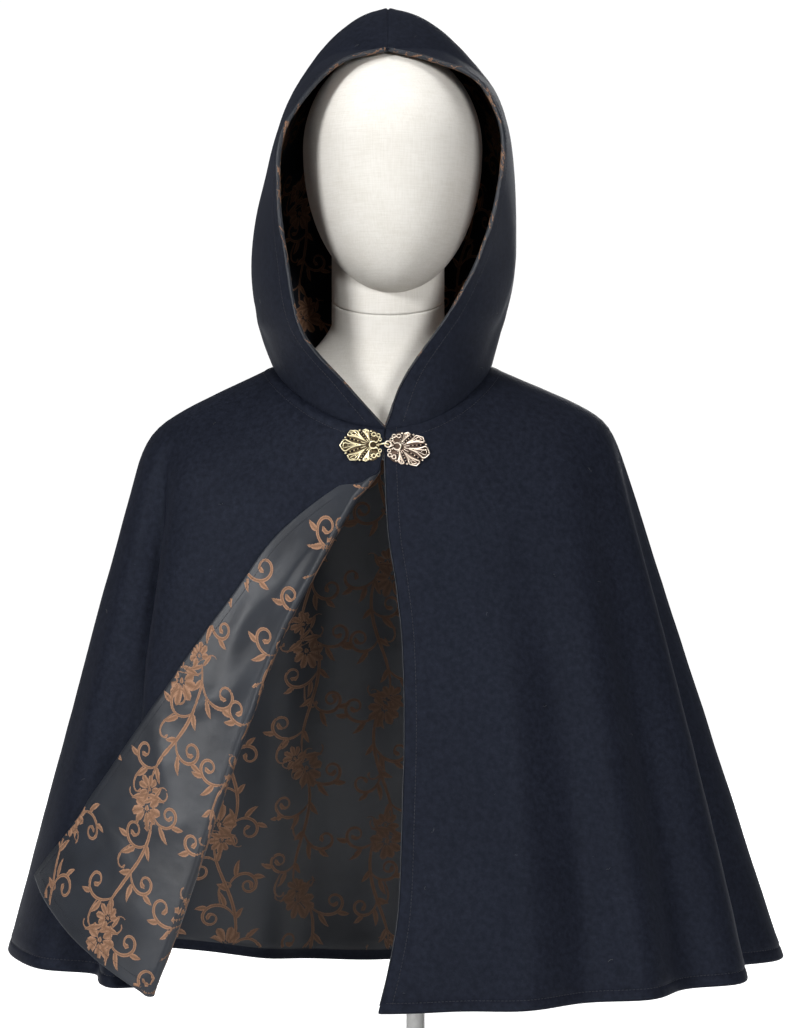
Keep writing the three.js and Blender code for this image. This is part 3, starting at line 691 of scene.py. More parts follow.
@dataclass
class FlatCut:
    """A panel laid flat: its rows become arcs round one centre, as a cutter draws them."""

    at: Grid
    start: int = 0
    straight: float | None = None
    radius: Grid = field(init=False)
    angle: Grid = field(init=False)

    def __post_init__(self) -> None:
        """Works out each row's radius and each place's angle."""
        steps = np.linalg.norm(np.diff(self.at, axis=1), axis=2)
        arc = np.concatenate([np.zeros((len(self.at), 1)), np.cumsum(steps, axis=1)], 1)
        arc -= arc[:, self.start : self.start + 1]
        down = np.linalg.norm(np.diff(self.at, axis=0), axis=2).mean(axis=1)
        length = np.concatenate([[0], np.cumsum(down)])
        first, last = np.ptp(arc[0]), np.ptp(arc[-1])
        inner = self.straight or max(length[-1] * first / max(last - first, 1), 60)
        self.radius = inner + length
        self.angle = arc / self.radius[:, None]

    def flat(self) -> Grid:
        """The flat place of each point of the grid, in millimetres."""
        radius = self.radius[:, None]
        return np.stack([radius * np.sin(self.angle), -radius * np.cos(self.angle)], -1)

    def size(self) -> tuple[tuple[float, float], float]:
        """The panel's size when it lies flat.

        Returns:
            Its width and length in metres, and its area in square metres.
        """
        flat = self.flat()
        width, length = np.ptp(flat[..., 0]), np.ptp(flat[..., 1])
        one, two = flat[1:, 1:] - flat[:-1, :-1], flat[1:, :-1] - flat[:-1, 1:]
        area = np.abs(one[..., 0] * two[..., 1] - one[..., 1] * two[..., 0]).sum() / 2
        return (width * METRES, length * METRES), float(area) * METRES**2

    def lift(self, places: Grid, face: Grid, normal: Grid, height: Grid) -> tuple[Grid, Grid]:
        """Lays flat places on the hanging cloth.

        Args:
            places: flat places in millimetres.
            face: the visible face's places on the grid.
            normal: the way out of that face on the grid.
            height: how far above the face each place stands.

        Returns:
            The places on the cloth, and whether each lies inside the panel.
        """
        reach, turn = np.hypot(*places.T), np.arctan2(places[:, 0], -places[:, 1])
        inside = (reach > self.radius[0] + 1) & (reach < self.radius[-1] - 1)
        row = np.clip(np.interp(reach, self.radius, np.arange(len(self.radius))), 0, len(self.radius) - 1.001)
        j, share = row.astype(int), row - row.astype(int)
        placed = np.zeros((len(places), 3))
        for begin in range(0, len(places), 20000):
            part = slice(begin, begin + 20000)
            here, t = j[part], share[part][:, None]
            line = self.angle[here] * (1 - t) + self.angle[here + 1] * t
            column = (line <= turn[part][:, None]).sum(axis=1) - 1
            inside[part] &= (column >= 0) & (column < line.shape[1] - 1)
            column = np.clip(column, 0, line.shape[1] - 2)
            each = np.arange(len(column))
            width = np.maximum(line[each, column + 1] - line[each, column], 1e-9)
            s = np.clip((turn[part] - line[each, column]) / width, 0, 1)[:, None]

            def mixed(values: Grid) -> Grid:
                """Reads a grid's values between its rows and columns.

                Args:
                    values: one value for each place of the grid.

                Returns:
                    The values at this part's places.
                """
                first = values[here, column] * (1 - s) + values[here, column + 1] * s
                other = values[here + 1, column] * (1 - s) + values[here + 1, column + 1] * s
                return first * (1 - t) + other * t

            placed[part] = mixed(face) + unit(mixed(normal)) * height[part][:, None]
        return placed, inside


@dataclass
class ScrollPattern:
    """Flocked scrolls on the lining: winding stems with curls, leaves and flower sprays."""

    across: float = 76
    down: float = 118
    stem: float = 126
    stem_width: float = 3.9
    curl_length: float = 76
    curl_width: float = 4.2
    petal_length: float = 14
    petal_width: float = 8.6
    step: float = 2.5
    edge_height: float = -0.05
    middle_height: float = 0.22

    def stroke(
        self, start: Grid, heading: float, length: float, bends: tuple[float, float], width: float, kind: Stroke
    ) -> tuple[Grid, Grid, Grid]:
        """One stroke, as a line that bends more and more.

        Args:
            start: where it begins.
            heading: which way it sets out, in degrees.
            length: how long it is.
            bends: how sharply it bends at its start and its end, in degrees for each millimetre.
            width: its greatest width.
            kind: how its width changes.

        Returns:
            Its middle line, its headings in degrees, and its half widths.
        """
        count = max(int(length / self.step), 5)
        share = np.linspace(0, 1, count + 1)
        bend = bends[0] + (bends[1] - bends[0]) * share**2
        turned = heading + np.concatenate([[0], np.cumsum((bend[1:] + bend[:-1]) / 2 * length / count)])
        ahead = heading_of(turned)
        middle = np.concatenate([[start], start + np.cumsum((ahead[1:] + ahead[:-1]) / 2 * length / count, 0)])
        if kind is Stroke.VINE:
            half = 0.36 + 0.64 * np.sin(np.pi * np.clip(share * 1.05, 0, 1)) ** 0.7
        elif kind is Stroke.CURL:
            half = 0.3 + 0.55 * np.sin(np.pi * share**0.8) + 0.9 * np.exp(-(((share - 0.95) / 0.045) ** 2))
        elif kind is Stroke.LEAF:
            half = np.sin(np.pi * share**0.75) ** 0.9 + 0.06
        else:
            half = np.sqrt(np.clip(1 - (2 * share**1.5 - 1) ** 2, 0, 1)) + 0.05
        return middle, turned, half * width / 2

    def spray(self, start: Grid, heading: float, draw: Random, size: float = 1.0) -> list:
        """A flower spray: petals round a middle, with leaves below.

        Args:
            start: where its stalk ends.
            heading: which way it faces, in degrees.
            draw: gives the small differences.
            size: 1 for a full flower.

        Returns:
            Its strokes.
        """
        way = heading_of(heading)
        middle = start + way * 9 * size
        strokes = []
        for k, spread in enumerate((-118, -76, -38, 0, 38, 76, 118)):
            turn = heading + spread + draw.uniform(-6, 6)
            ahead = heading_of(turn)
            bend = draw.uniform(-2.2, 2.2) + (2.4 if spread > 0 else -2.4 if spread < 0 else 0)
            long = self.petal_length * size * (1.15 - 0.12 * abs(k - 3)) * draw.uniform(0.92, 1.1)
            strokes.append(
                self.stroke(middle + ahead * 3.2 * size, turn, long, (0, bend), self.petal_width * size, Stroke.PETAL)
            )
        strokes.append(self.stroke(middle - way * 2.4 * size, heading, 5 * size, (0, 0), 4.6 * size, Stroke.PETAL))
        for side in (-1, 1):
            bends = (side * 1.0, side * -4.6)
            strokes.append(
                self.stroke(start - way * 2, heading + side * 74, 19 * size, bends, 5.6 * size, Stroke.LEAF)
            )
            bends = (side * -2.0, side * 17)
            strokes.append(
                self.stroke(start + way * 3, heading + side * 100, 27 * size, bends, 2.4 * size, Stroke.CURL)
            )
        return strokes

    def sprig(self, start: Grid, heading: float, hand: int, draw: Random) -> list:
        """A winding stem with its curls and leaves, ending in a spray.

        Args:
            start: where the stem begins.
            heading: which way it sets out, in degrees.
            hand: 1 or -1, the side that its first bend goes to.
            draw: gives the small differences.

        Returns:
            Its strokes.
        """
        bends = (hand * 1.05, hand * -1.75)
        middle, turned, half = self.stroke(start, heading, self.stem, bends, self.stem_width, Stroke.VINE)
        strokes = [(middle, turned, half)]
        side = hand
        for share in (0.1, 0.32, 0.55, 0.78):
            k = int(share * (len(middle) - 1))
            side = -side
            long = self.curl_length * draw.uniform(0.74, 1.08)
            curl = (side * draw.uniform(1.6, 3.8), side * draw.uniform(14, 17))
            leave = turned[k] + side * draw.uniform(12, 30)
            strokes.append(self.stroke(middle[k], leave, long, curl, self.curl_width, Stroke.CURL))
            child, child_turn, _ = strokes[-1]
            back = turned[k] - side * draw.uniform(28, 44)
            strokes.append(self.stroke(middle[k], back, draw.uniform(11, 16), (0, side * -4.5), 5.6, Stroke.LEAF))
            for along, long in ((0.2, 17), (0.42, 12)):
                m = int(along * (len(child) - 1))
                leave = child_turn[m] - side * draw.uniform(34, 52)
                strokes.append(self.stroke(child[m], leave, long, (0, side * 5.5), 5.6, Stroke.LEAF))
            if share in (0.32, 0.78):
                m = int(0.28 * (len(child) - 1))
                strokes.append(
                    self.stroke(child[m], child_turn[m] - side * 66, 34, (0, side * -20), 2.8, Stroke.CURL)
                )
        strokes.extend(self.spray(middle[-1], turned[-1], draw))
        strokes.extend(self.spray(middle[0], heading + 180 - hand * 20, draw, 0.72))
        return strokes

    def strokes_over(self, low: Grid, high: Grid, seed: int) -> list:
        """Sprigs set out in a half-drop over a flat area.

        Args:
            low: the area's least coordinates.
            high: its greatest coordinates.
            seed: fixes the small differences.

        Returns:
            All the strokes.
        """
        draw = Random(seed)
        strokes = []
        columns = range(math.floor(low[0] / self.across) - 1, math.ceil(high[0] / self.across) + 2)
        rows = range(math.floor(low[1] / self.down) - 1, math.ceil(high[1] / self.down) + 2)
        for column in columns:
            for row in rows:
                hand = 1 if column % 2 else -1
                x = column * self.across + draw.uniform(-6, 6)
                y = (row + 0.5 * (column % 2)) * self.down + draw.uniform(-7, 7)
                heading = 90 if (column // 2) % 2 else -90
                strokes.extend(self.sprig(np.array([x, y]), heading - hand * 34, hand, draw))
        return strokes

    def build(
        self, name: str, cut: FlatCut, face: Grid, normal: Grid, material: bpy.types.Material, seed: int
    ) -> bpy.types.Object:
        """Lays the pattern on a panel of lining.

        Args:
            name: the piece's name.
            cut: the panel's flat cut.
            face: the lining's visible face.
            normal: the way out of it.
            material: the flock's finish.
            seed: fixes the small differences.

        Returns:
            The mesh object.
        """
        flat = cut.flat().reshape(-1, 2)
        points, heights, marks, faces, size = [], [], [], [], 0
        for middle, turned, half in self.strokes_over(flat.min(0), flat.max(0), seed):
            side = np.stack([-np.sin(np.radians(turned)), np.cos(np.radians(turned))], -1) * half[:, None]
            rows = np.stack([middle + side, middle, middle - side], 1)
            count = len(middle)
            points.append(rows.reshape(-1, 2))
            heights.append(np.tile([self.edge_height, self.middle_height, self.edge_height], count))
            along = np.repeat(np.arange(count) * self.step, 3)
            marks.append(np.stack([np.tile([0.0, 0.5, 1.0], count), along * METRES], -1))
            k = np.arange(count - 1)[:, None] * 3 + size
            for lane in (0, 1):
                faces.append(np.concatenate([k + lane, k + lane + 1, k + lane + 4, k + lane + 3], 1))
            size += count * 3
        places, every = np.concatenate(points), np.concatenate(faces)
        lifted, inside = cut.lift(places, face, normal, np.concatenate(heights))
        every = every[inside[every].all(axis=1)]
        corner = lifted[every]
        way = np.cross(corner[:, 1] - corner[:, 0], corner[:, 3] - corner[:, 0])
        out = cut.lift(places, face * 0, normal, np.ones(len(places)))[0][every[:, 0]]
        turned_in = (way * out).sum(axis=1) < 0
        every[turned_in] = every[turned_in][:, ::-1]
        used = np.unique(every)
        renamed = np.zeros(len(places), int)
        renamed[used] = np.arange(len(used))
        uv = np.concatenate(marks)[used]
        return make_mesh(name, lifted[used], renamed[every], material, uv)


class Finish:
    """A node material: helpers that the finishes share."""

    def __init__(self, name: str) -> None:
        """Makes an empty material with a principled shader.

        Args:
            name: the material's name.
        """
        self.material = bpy.data.materials.new(name)
        self.material.use_nodes = True
        self.nodes, self.links = self.material.node_tree.nodes, self.material.node_tree.links
        self.shader = self.nodes["Principled BSDF"]
        self.where = self.nodes.new("ShaderNodeTexCoord")

    def set(self, **values: float | tuple[float, ...]) -> "Finish":
        """Sets the shader's own sockets.

        Args:
            values: by the sockets' names, with underscores for spaces.

        Returns:
            This finish.
        """
        for name, value in values.items():
            self.shader.inputs[name.replace("_", " ")].default_value = value
        return self

    def noise(self, size: float, detail: float = 4, stretch: tuple = (1, 1, 1), uv: bool = False) -> object:
        """Adds a noise.

        Args:
            size: how wide its bumps are, in metres.
            detail: how many finer layers it has.
            stretch: how much closer it is along each axis.
            uv: whether it follows the cloth instead of the space.

        Returns:
            Its value socket.
        """
        mapping = self.nodes.new("ShaderNodeMapping")
        mapping.inputs["Scale"].default_value = stretch
        self.links.new(self.where.outputs["UV" if uv else "Object"], mapping.inputs["Vector"])
        made = self.nodes.new("ShaderNodeTexNoise")
        made.inputs["Scale"].default_value = 1 / size
        made.inputs["Detail"].default_value = detail
        self.links.new(mapping.outputs["Vector"], made.inputs["Vector"])
        return made.outputs["Fac"]

    def ramp(self, value: object, *stops: tuple[float, tuple[float, float, float]]) -> object:
        """Colours a value.

        Args:
            value: its socket.
            stops: places with their colours.

        Returns:
            The colour socket.
        """
        made = self.nodes.new("ShaderNodeValToRGB")
        while len(made.color_ramp.elements) < len(stops):
            made.color_ramp.elements.new(0.5)
        for element, (place, colour) in zip(made.color_ramp.elements, stops):
            element.position, element.color = place, (*colour, 1)
        self.links.new(value, made.inputs["Fac"])
        return made.outputs["Color"]

    def maths(self, operation: str, one: object, other: object | float = 0.0) -> object:
        """Joins two values.

        Args:
            operation: how they are joined.
            one: a socket.
            other: a socket or a number.

        Returns:
            The result's socket.
        """
        made = self.nodes.new("ShaderNodeMath")
        made.operation = operation
        for socket, value in zip(made.inputs, (one, other)):
            if isinstance(value, (int, float)):
                socket.default_value = value
            else:
                self.links.new(value, socket)
        return made.outputs["Value"]

    def multiplied(self, one: object, other: object, share: float = 1.0) -> object:
        """Multiplies two colours.

        Args:
            one: a colour socket.
            other: another.
            share: how far the other counts.

        Returns:
            The result's socket.
        """
        made = self.nodes.new("ShaderNodeMix")
        made.data_type, made.blend_type = "RGBA", "MULTIPLY"
        made.inputs["Factor"].default_value = share
        self.links.new(one, made.inputs["A"])
        self.links.new(other, made.inputs["B"])
        return made.outputs["Result"]

    def colour(self, socket: object) -> "Finish":
        """Leads a colour to the shader."""
        self.links.new(socket, self.shader.inputs["Base Color"])
        return self

    def roughness(self, socket: object) -> "Finish":
        """Leads a roughness to the shader."""
        self.links.new(socket, self.shader.inputs["Roughness"])
        return self

    def bump(self, *layers: tuple[object, float]) -> "Finish":
        """Raises the surface.

        Args:
            layers: a value's socket and its height in metres, for each layer.

        Returns:
            This finish.
        """
        last = None
        for value, height in layers:
            made = self.nodes.new("ShaderNodeBump")
            made.inputs["Distance"].default_value = height
            self.links.new(value, made.inputs["Height"])
            if last:
                self.links.new(last, made.inputs["Normal"])
            last = made.outputs["Normal"]
        self.links.new(last, self.shader.inputs["Normal"])
        return self


@dataclass(frozen=True)
class WoolFinish:
    """Melton: dense, brushed wool in a navy that is nearly black."""

    dark: tuple[float, float, float] = (0.0038, 0.0047, 0.0088)
    light: tuple[float, float, float] = (0.0102, 0.0122, 0.0205)
    sheen: tuple[float, float, float, float] = (0.3, 0.35, 0.5, 1)
    lustre: tuple[float, float, float, float] = (0.68, 0.78, 1.0, 1)

    def make(self) -> bpy.types.Material:
        """Makes the material.

        Returns:
            The node material.
        """
        made = Finish("wool melton")
        made.set(Roughness=0.62, Specular_IOR_Level=0.13, Sheen_Weight=0.03, Sheen_Roughness=0.5)
        made.set(Sheen_Tint=self.sheen, Specular_Tint=self.lustre)
        fibre, felt, cloud = made.noise(0.0011, 6), made.noise(0.0042, 5), made.noise(0.06, 3)
        nap = made.ramp(felt, (0.3, self.dark), (0.72, self.light))
        tone = made.ramp(cloud, (0.3, (0.8, 0.8, 0.82)), (0.7, (1, 1, 1)))
        speck = made.ramp(fibre, (0.25, (0.72, 0.72, 0.74)), (0.8, (1.25, 1.25, 1.25)))
        made.colour(made.multiplied(made.multiplied(nap, tone), speck))
        return made.bump((felt, 0.0001), (fibre, 0.0001)).material


@dataclass(frozen=True)
class SatinFinish:
    """The lining's ground: slate satin with a fine crosswise rib."""

    dark: tuple[float, float, float] = (0.0075, 0.0092, 0.0135)
    light: tuple[float, float, float] = (0.0165, 0.0205, 0.029)

    def make(self) -> bpy.types.Material:
        """Makes the material.

        Returns:
            The node material.
        """
        made = Finish("slate satin")
        made.set(Specular_IOR_Level=0.31, Anisotropic=0.4, Sheen_Weight=0.01)
        thread = made.noise(0.0009, 2, (1, 12, 1), uv=True)
        cloud = made.noise(0.045, 3)
        made.colour(made.ramp(cloud, (0.25, self.dark), (0.75, self.light)))
        made.roughness(made.ramp(thread, (0.2, (0.33,) * 3), (0.8, (0.47,) * 3)))
        return made.bump((cloud, 0.0012), (thread, 0.00006)).material


@dataclass(frozen=True)
class FlockFinish:
    """The scrolls' copper-brown pile, with a painted highlight that brightens each stroke towards its rims."""

    # rim is a painted highlight colour for the strokes' edges; middle is the pile's own colour.
    rim: tuple[float, float, float] = (0.37, 0.205, 0.125)
    middle: tuple[float, float, float] = (0.2, 0.106, 0.062)

    def make(self) -> bpy.types.Material:
        """Makes the material.

        Returns:
            The node material.
        """
        made = Finish("copper flock")
        made.set(Roughness=0.75, Specular_IOR_Level=0.25, Sheen_Weight=0.12, Sheen_Roughness=0.4)
        made.set(Sheen_Tint=(1.0, 0.62, 0.42, 1))
        apart = made.nodes.new("ShaderNodeSeparateXYZ")
        made.links.new(made.where.outputs["UV"], apart.inputs["Vector"])
        aside = made.maths("ABSOLUTE", made.maths("SUBTRACT", apart.outputs["X"], 0.5))
        pile, cloud = made.noise(0.0007, 3), made.noise(0.012, 2)
        # Painted highlight: the colour rises from middle to rim towards each stroke's edges, with random tone from
        # cloud.
        wear_and_rim_highlight = made.maths("ADD", made.maths("MULTIPLY", aside, 2.0), made.maths("MULTIPLY", cloud, 0.5))
        tone = made.ramp(wear_and_rim_highlight, (0.35, self.middle), (0.95, self.rim))
        speck = made.ramp(pile, (0.3, (0.7, 0.7, 0.7)), (0.75, (1.2, 1.2, 1.2)))
        made.colour(made.multiplied(tone, speck))
        return made.bump((pile, 0.00018)).material


@dataclass(frozen=True)
class BrassFinish:
    """Antique brass, bright on its ridges and dark in its hollows."""

    name: str
    bright: tuple[float, float, float]
    dark: tuple[float, float, float]

    def make(self) -> bpy.types.Material:
        """Makes the material.

        Returns:
            The node material.
        """
        made = Finish(self.name)
        made.set(Metallic=1.0)
        cloud, grain = made.noise(0.0035, 4), made.noise(0.0006, 3)
        apart = made.nodes.new("ShaderNodeSeparateXYZ")
        made.links.new(made.where.outputs["UV"], apart.inputs["Vector"])
        # Here the value is the brass's own wear: polished ridges and dark patina in the hollows.
        wear_and_rim_highlight = made.maths("ADD", apart.outputs["X"], made.maths("MULTIPLY", cloud, 0.35))
        made.colour(made.ramp(wear_and_rim_highlight, (0.42, self.dark), (0.8, self.bright)))
        made.roughness(made.ramp(wear_and_rim_highlight, (0.4, (0.55,) * 3), (0.85, (0.3,) * 3)))
        return made.bump((grain, 0.00005)).material


@dataclass(frozen=True)
class LinenFinish:
    """The form's cover: fine off-white linen, woven over and under."""

    base: tuple[float, float, float] = (0.78, 0.755, 0.705)
    shade: tuple[float, float, float] = (0.69, 0.66, 0.6)

    def make(self) -> bpy.types.Material:
        """Makes the material.

        Returns:
            The node material.
        """
        made = Finish("form linen")
        made.set(Roughness=0.92, Specular_IOR_Level=0.2, Sheen_Weight=0.1)
        warp, weft = made.noise(0.0011, 2, (1, 1, 0.08)), made.noise(0.0011, 2, (0.08, 0.08, 1))
        slub = made.noise(0.03, 3)
        weave = made.maths("ADD", warp, weft)
        mean = made.maths("MULTIPLY", made.maths("ADD", weave, slub), 0.34)
        made.colour(made.ramp(mean, (0.35, self.shade), (0.6, self.base)))
        return made.bump((weave, 0.00012)).material


@dataclass(frozen=True)
class PlainFinish:
    """A finish of one tone with fine grain, for thread, lint and paint."""

    name: str
    tone: tuple[float, float, float]
    roughness: float = 0.6
    grain: float = 0.002
    relief: float = 0.00003

    def make(self) -> bpy.types.Material:
        """Makes the material.

        Returns:
            The node material.
        """
        made = Finish(self.name)
        made.set(Roughness=self.roughness, Specular_IOR_Level=0.35)
        cloud = made.noise(self.grain, 4)
        low = tuple(0.9 * c for c in self.tone)
        made.colour(made.ramp(cloud, (0.3, low), (0.7, self.tone)))
        return made.bump((cloud, self.relief)).material


@dataclass(frozen=True)
class GlowFinish:
    """The studio's white paper, which glows softly like a lit sweep."""

    name: str
    tone: tuple[float, float, float]
    glow: float

    def make(self) -> bpy.types.Material:
        """Makes the material.

        Returns:
            The node material.
        """
        made = Finish(self.name)
        made.set(Base_Color=(*self.tone, 1), Roughness=1.0, Specular_IOR_Level=0.0)
        return made.set(Emission_Color=(1, 1, 1, 1), Emission_Strength=self.glow).material


class Finishes:
    """Every finish of the cloak, the form, the stand and the floor."""

    def __init__(self) -> None:
        """Makes the materials."""
        self.wool = WoolFinish().make()
        self.satin = SatinFinish().make()
        self.flock = FlockFinish().make()
        self.yellow_brass = BrassFinish("yellow antique brass", (0.84, 0.75, 0.5), (0.1, 0.075, 0.045)).make()
        self.rose_brass = BrassFinish("rose antique brass", (0.8, 0.69, 0.58), (0.1, 0.07, 0.055)).make()
        self.linen = LinenFinish().make()
        self.thread = PlainFinish("navy thread", (0.012, 0.013, 0.02), 0.55, 0.0006).make()
        self.lint = PlainFinish("stray lint", (0.16, 0.16, 0.155), 0.85, 0.001).make()
        self.paint = PlainFinish("pale stand paint", (0.86, 0.86, 0.85), 0.42, 0.004).make()
        self.floor = GlowFinish("pale floor", (0.8, 0.8, 0.8), 1.0).make()
        self.backdrop = GlowFinish("white backdrop", (0, 0, 0), 1.05).make()


class NodeTool:
    """A Geometry Nodes tree that puts copies of one shape on points and keeps a plain mesh."""

    def __init__(self, name: str, material: bpy.types.Material, **values: float) -> None:
        """Starts the tree, with its inputs and its last steps.

        Args:
            name: the tree's name.
            material: the copies' finish.
            values: the tree's inputs, with underscores for spaces.
        """
        self.tree = bpy.data.node_groups.new(name, "GeometryNodeTree")
        face = self.tree.interface
        face.new_socket("Geometry", in_out="INPUT", socket_type="NodeSocketGeometry")
        for key, value in values.items():
            label = key.replace("_", " ")
            face.new_socket(label, in_out="INPUT", socket_type="NodeSocketFloat").default_value = value
        face.new_socket("Geometry", in_out="OUTPUT", socket_type="NodeSocketGeometry")
        self.given, self.placed = self.node("NodeGroupInput"), self.node("GeometryNodeInstanceOnPoints")
        real = self.node("GeometryNodeRealizeInstances")
        dressed = self.node("GeometryNodeSetMaterial", Material=material)
        self.link(self.placed, "Instances", real, "Geometry")
        self.link(real, "Geometry", dressed, "Geometry")
        self.link(dressed, "Geometry", self.node("NodeGroupOutput"), "Geometry")

    def node(self, kind: str, **values: object) -> bpy.types.Node:
        """Adds a node.

        Args:
            kind: its type.
            values: the values of its inputs.

        Returns:
            The node.
        """
        made = self.tree.nodes.new(kind)
        for key, value in values.items():
            made.inputs[key].default_value = value
        return made

    def link(self, source: bpy.types.Node, output: str, target: bpy.types.Node, entry: str | int) -> None:
        """Leads a node's output to another's input."""
        self.tree.links.new(source.outputs[output], target.inputs[entry])

    def run(self, name: str, shape: bpy.types.Curve | bpy.types.Mesh, **values: float) -> bpy.types.Object:
        """Runs the tree on a guide and removes the guide.

        Args:
            name: the new piece's name.
            shape: the line or surface that the tree follows.
            values: the tree's inputs, with underscores for spaces.

        Returns:
            The new mesh object.
        """
        guide = bpy.data.objects.new(f"{name}_guide", shape)
        bpy.context.scene.collection.objects.link(guide)
        modifier = guide.modifiers.new("nodes", "NODES")
        modifier.node_group = self.tree
        sockets = {s.name: s.identifier for s in self.tree.interface.items_tree if s.in_out == "INPUT"}
        for key, value in values.items():
            modifier[sockets[key.replace("_", " ")]] = value
        graph = bpy.context.evaluated_depsgraph_get()
        mesh = bpy.data.meshes.new_from_object(guide.evaluated_get(graph), depsgraph=graph)
        mesh.name = name
        mesh.shade_smooth()
        bpy.data.objects.remove(guide)
        piece = bpy.data.objects.new(name, mesh)
        bpy.context.scene.collection.objects.link(piece)
        return piece


class StitchTool(NodeTool):
    """Sews stitches along lines."""

    def __init__(self, material: bpy.types.Material) -> None:
        """Builds the node tree for a thread.

        Args:
            material: the thread's finish.
        """
        super().__init__("topstitch", material, Stitch_Length=0.0024, Pitch=0.003, Thread_Radius=0.00028)
        spots = self.node("GeometryNodeCurveToPoints")
        spots.mode = "LENGTH"
        bead = self.node("GeometryNodeMeshUVSphere", Segments=6, Rings=5, Radius=1)
        sizes, half, shaped = (
            self.node("ShaderNodeCombineXYZ"), self.node("ShaderNodeMath"), self.node("GeometryNodeTransform")
        )
        half.operation = "MULTIPLY"
        half.inputs[1].default_value = 0.5
        self.link(self.given, "Geometry", spots, "Curve")
        self.link(self.given, "Pitch", spots, "Length")
        self.link(self.given, "Stitch Length", half, 0)
        self.link(self.given, "Thread Radius", sizes, "X")
        self.link(self.given, "Thread Radius", sizes, "Y")
        self.link(half, "Value", sizes, "Z")
        self.link(bead, "Mesh", shaped, "Geometry")
        self.link(sizes, "Vector", shaped, "Scale")
        self.link(spots, "Points", self.placed, "Points")
        self.link(spots, "Rotation", self.placed, "Rotation")
        self.link(shaped, "Geometry", self.placed, "Instance")

    def sew(self, name: str, lines: list[Grid], length: float, pitch: float) -> bpy.types.Object:
        """Sews along lines.

        Args:
            name: the piece's name.
            lines: places along each line, in millimetres.
            length: one stitch's length in metres.
            pitch: the distance from stitch to stitch in metres.

        Returns:
            The stitches as one plain mesh.
        """
        curve = bpy.data.curves.new(name, "CURVE")
        curve.dimensions = "3D"
        for line in lines:
            spline = curve.splines.new("POLY")
            spline.points.add(len(line) - 1)
            spline.points.foreach_set("co", np.column_stack([line * METRES, np.ones(len(line))]).ravel())
        return self.run(name, curve, Stitch_Length=length, Pitch=pitch)


class LintTool(NodeTool):
    """Lays a few stray fibres on the wool."""

    def __init__(self, material: bpy.types.Material) -> None:
        """Builds the node tree for the fibres.

        Args:
            material: the fibres' finish.
        """
        super().__init__("stray lint", material, Density=150, Fibre_Radius=0.00005)
        spots = self.node("GeometryNodeDistributePointsOnFaces", Seed=11)
        hair = self.node(
            "GeometryNodeCurveQuadraticBezier",
            Resolution=5, Start=(-0.0017, 0, 0.0002), Middle=(0, 0.0009, 0.0005), End=(0.0017, -0.0003, 0.0002),
        )
        profile = self.node("GeometryNodeCurvePrimitiveCircle", Resolution=4)
        fibre, turn, way = (
            self.node("GeometryNodeCurveToMesh"), self.node("FunctionNodeRotateRotation"),
            self.node("ShaderNodeCombineXYZ"),
        )
        turn.rotation_space = "LOCAL"
        self.tree.links.new(self.drawn(5, 6.28), way.inputs["Z"])
        self.tree.links.new(self.drawn(6, 1.5), self.placed.inputs["Scale"])
        self.link(self.given, "Geometry", spots, "Mesh")
        self.link(self.given, "Density", spots, "Density")
        self.link(self.given, "Fibre Radius", profile, "Radius")
        self.link(hair, "Curve", fibre, "Curve")
        self.link(profile, "Curve", fibre, "Profile Curve")
        self.link(spots, "Rotation", turn, "Rotation")
        self.link(way, "Vector", turn, "Rotate By")
        self.link(spots, "Points", self.placed, "Points")
        self.link(turn, "Rotation", self.placed, "Rotation")
        self.link(fibre, "Mesh", self.placed, "Instance")

    def drawn(self, seed: int, high: float, low: float = 0.3) -> bpy.types.NodeSocket:
        """A number drawn at random for each fibre.

        Args:
            seed: fixes the draw.
            high: the greatest number.
            low: the least number.

        Returns:
            Its socket.
        """
        made = self.node("FunctionNodeRandomValue", Seed=seed)
        made.data_type = "FLOAT"
        least, greatest = [s for s in made.inputs if s.enabled and s.name in ("Min", "Max")]
        least.default_value, greatest.default_value = low, high
        return [s for s in made.outputs if s.enabled][0]

    def scatter(self, name: str, face: Grid, density: float) -> bpy.types.Object:
        """Lays fibres on a grid of places.

        Args:
            name: the piece's name.
            face: the wool's visible face.
            density: how many fibres lie on a square metre.

        Returns:
            The fibres as one plain mesh.
        """
        rows, columns = face.shape[:2]
        index = np.arange(rows * columns).reshape(rows, columns)
        quads = np.stack([index[:-1, :-1], index[1:, :-1], index[1:, 1:], index[:-1, 1:]], -1).reshape(-1, 4)
        mesh = bpy.data.meshes.new(f"{name}_ground")
        mesh.from_pydata((face.reshape(-1, 3) * METRES).tolist(), [], quads.tolist())
        return self.run(name, mesh, Density=density)


def declare(piece: bpy.types.Object, slot: str, *nodes: str) -> bpy.types.Object:
    """Sets a piece on the model's body and hides the solids that it stands for.

    Args:
        piece: the mesh object.
        slot: not used.
        nodes: the solids' names.

    Returns:
        The piece.
    """
    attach(piece, "root")
    if nodes:
        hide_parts(*nodes)
    LOG.info("%s: %d triangles", piece.name, sum(len(p.vertices) - 2 for p in piece.data.polygons))
    return piece


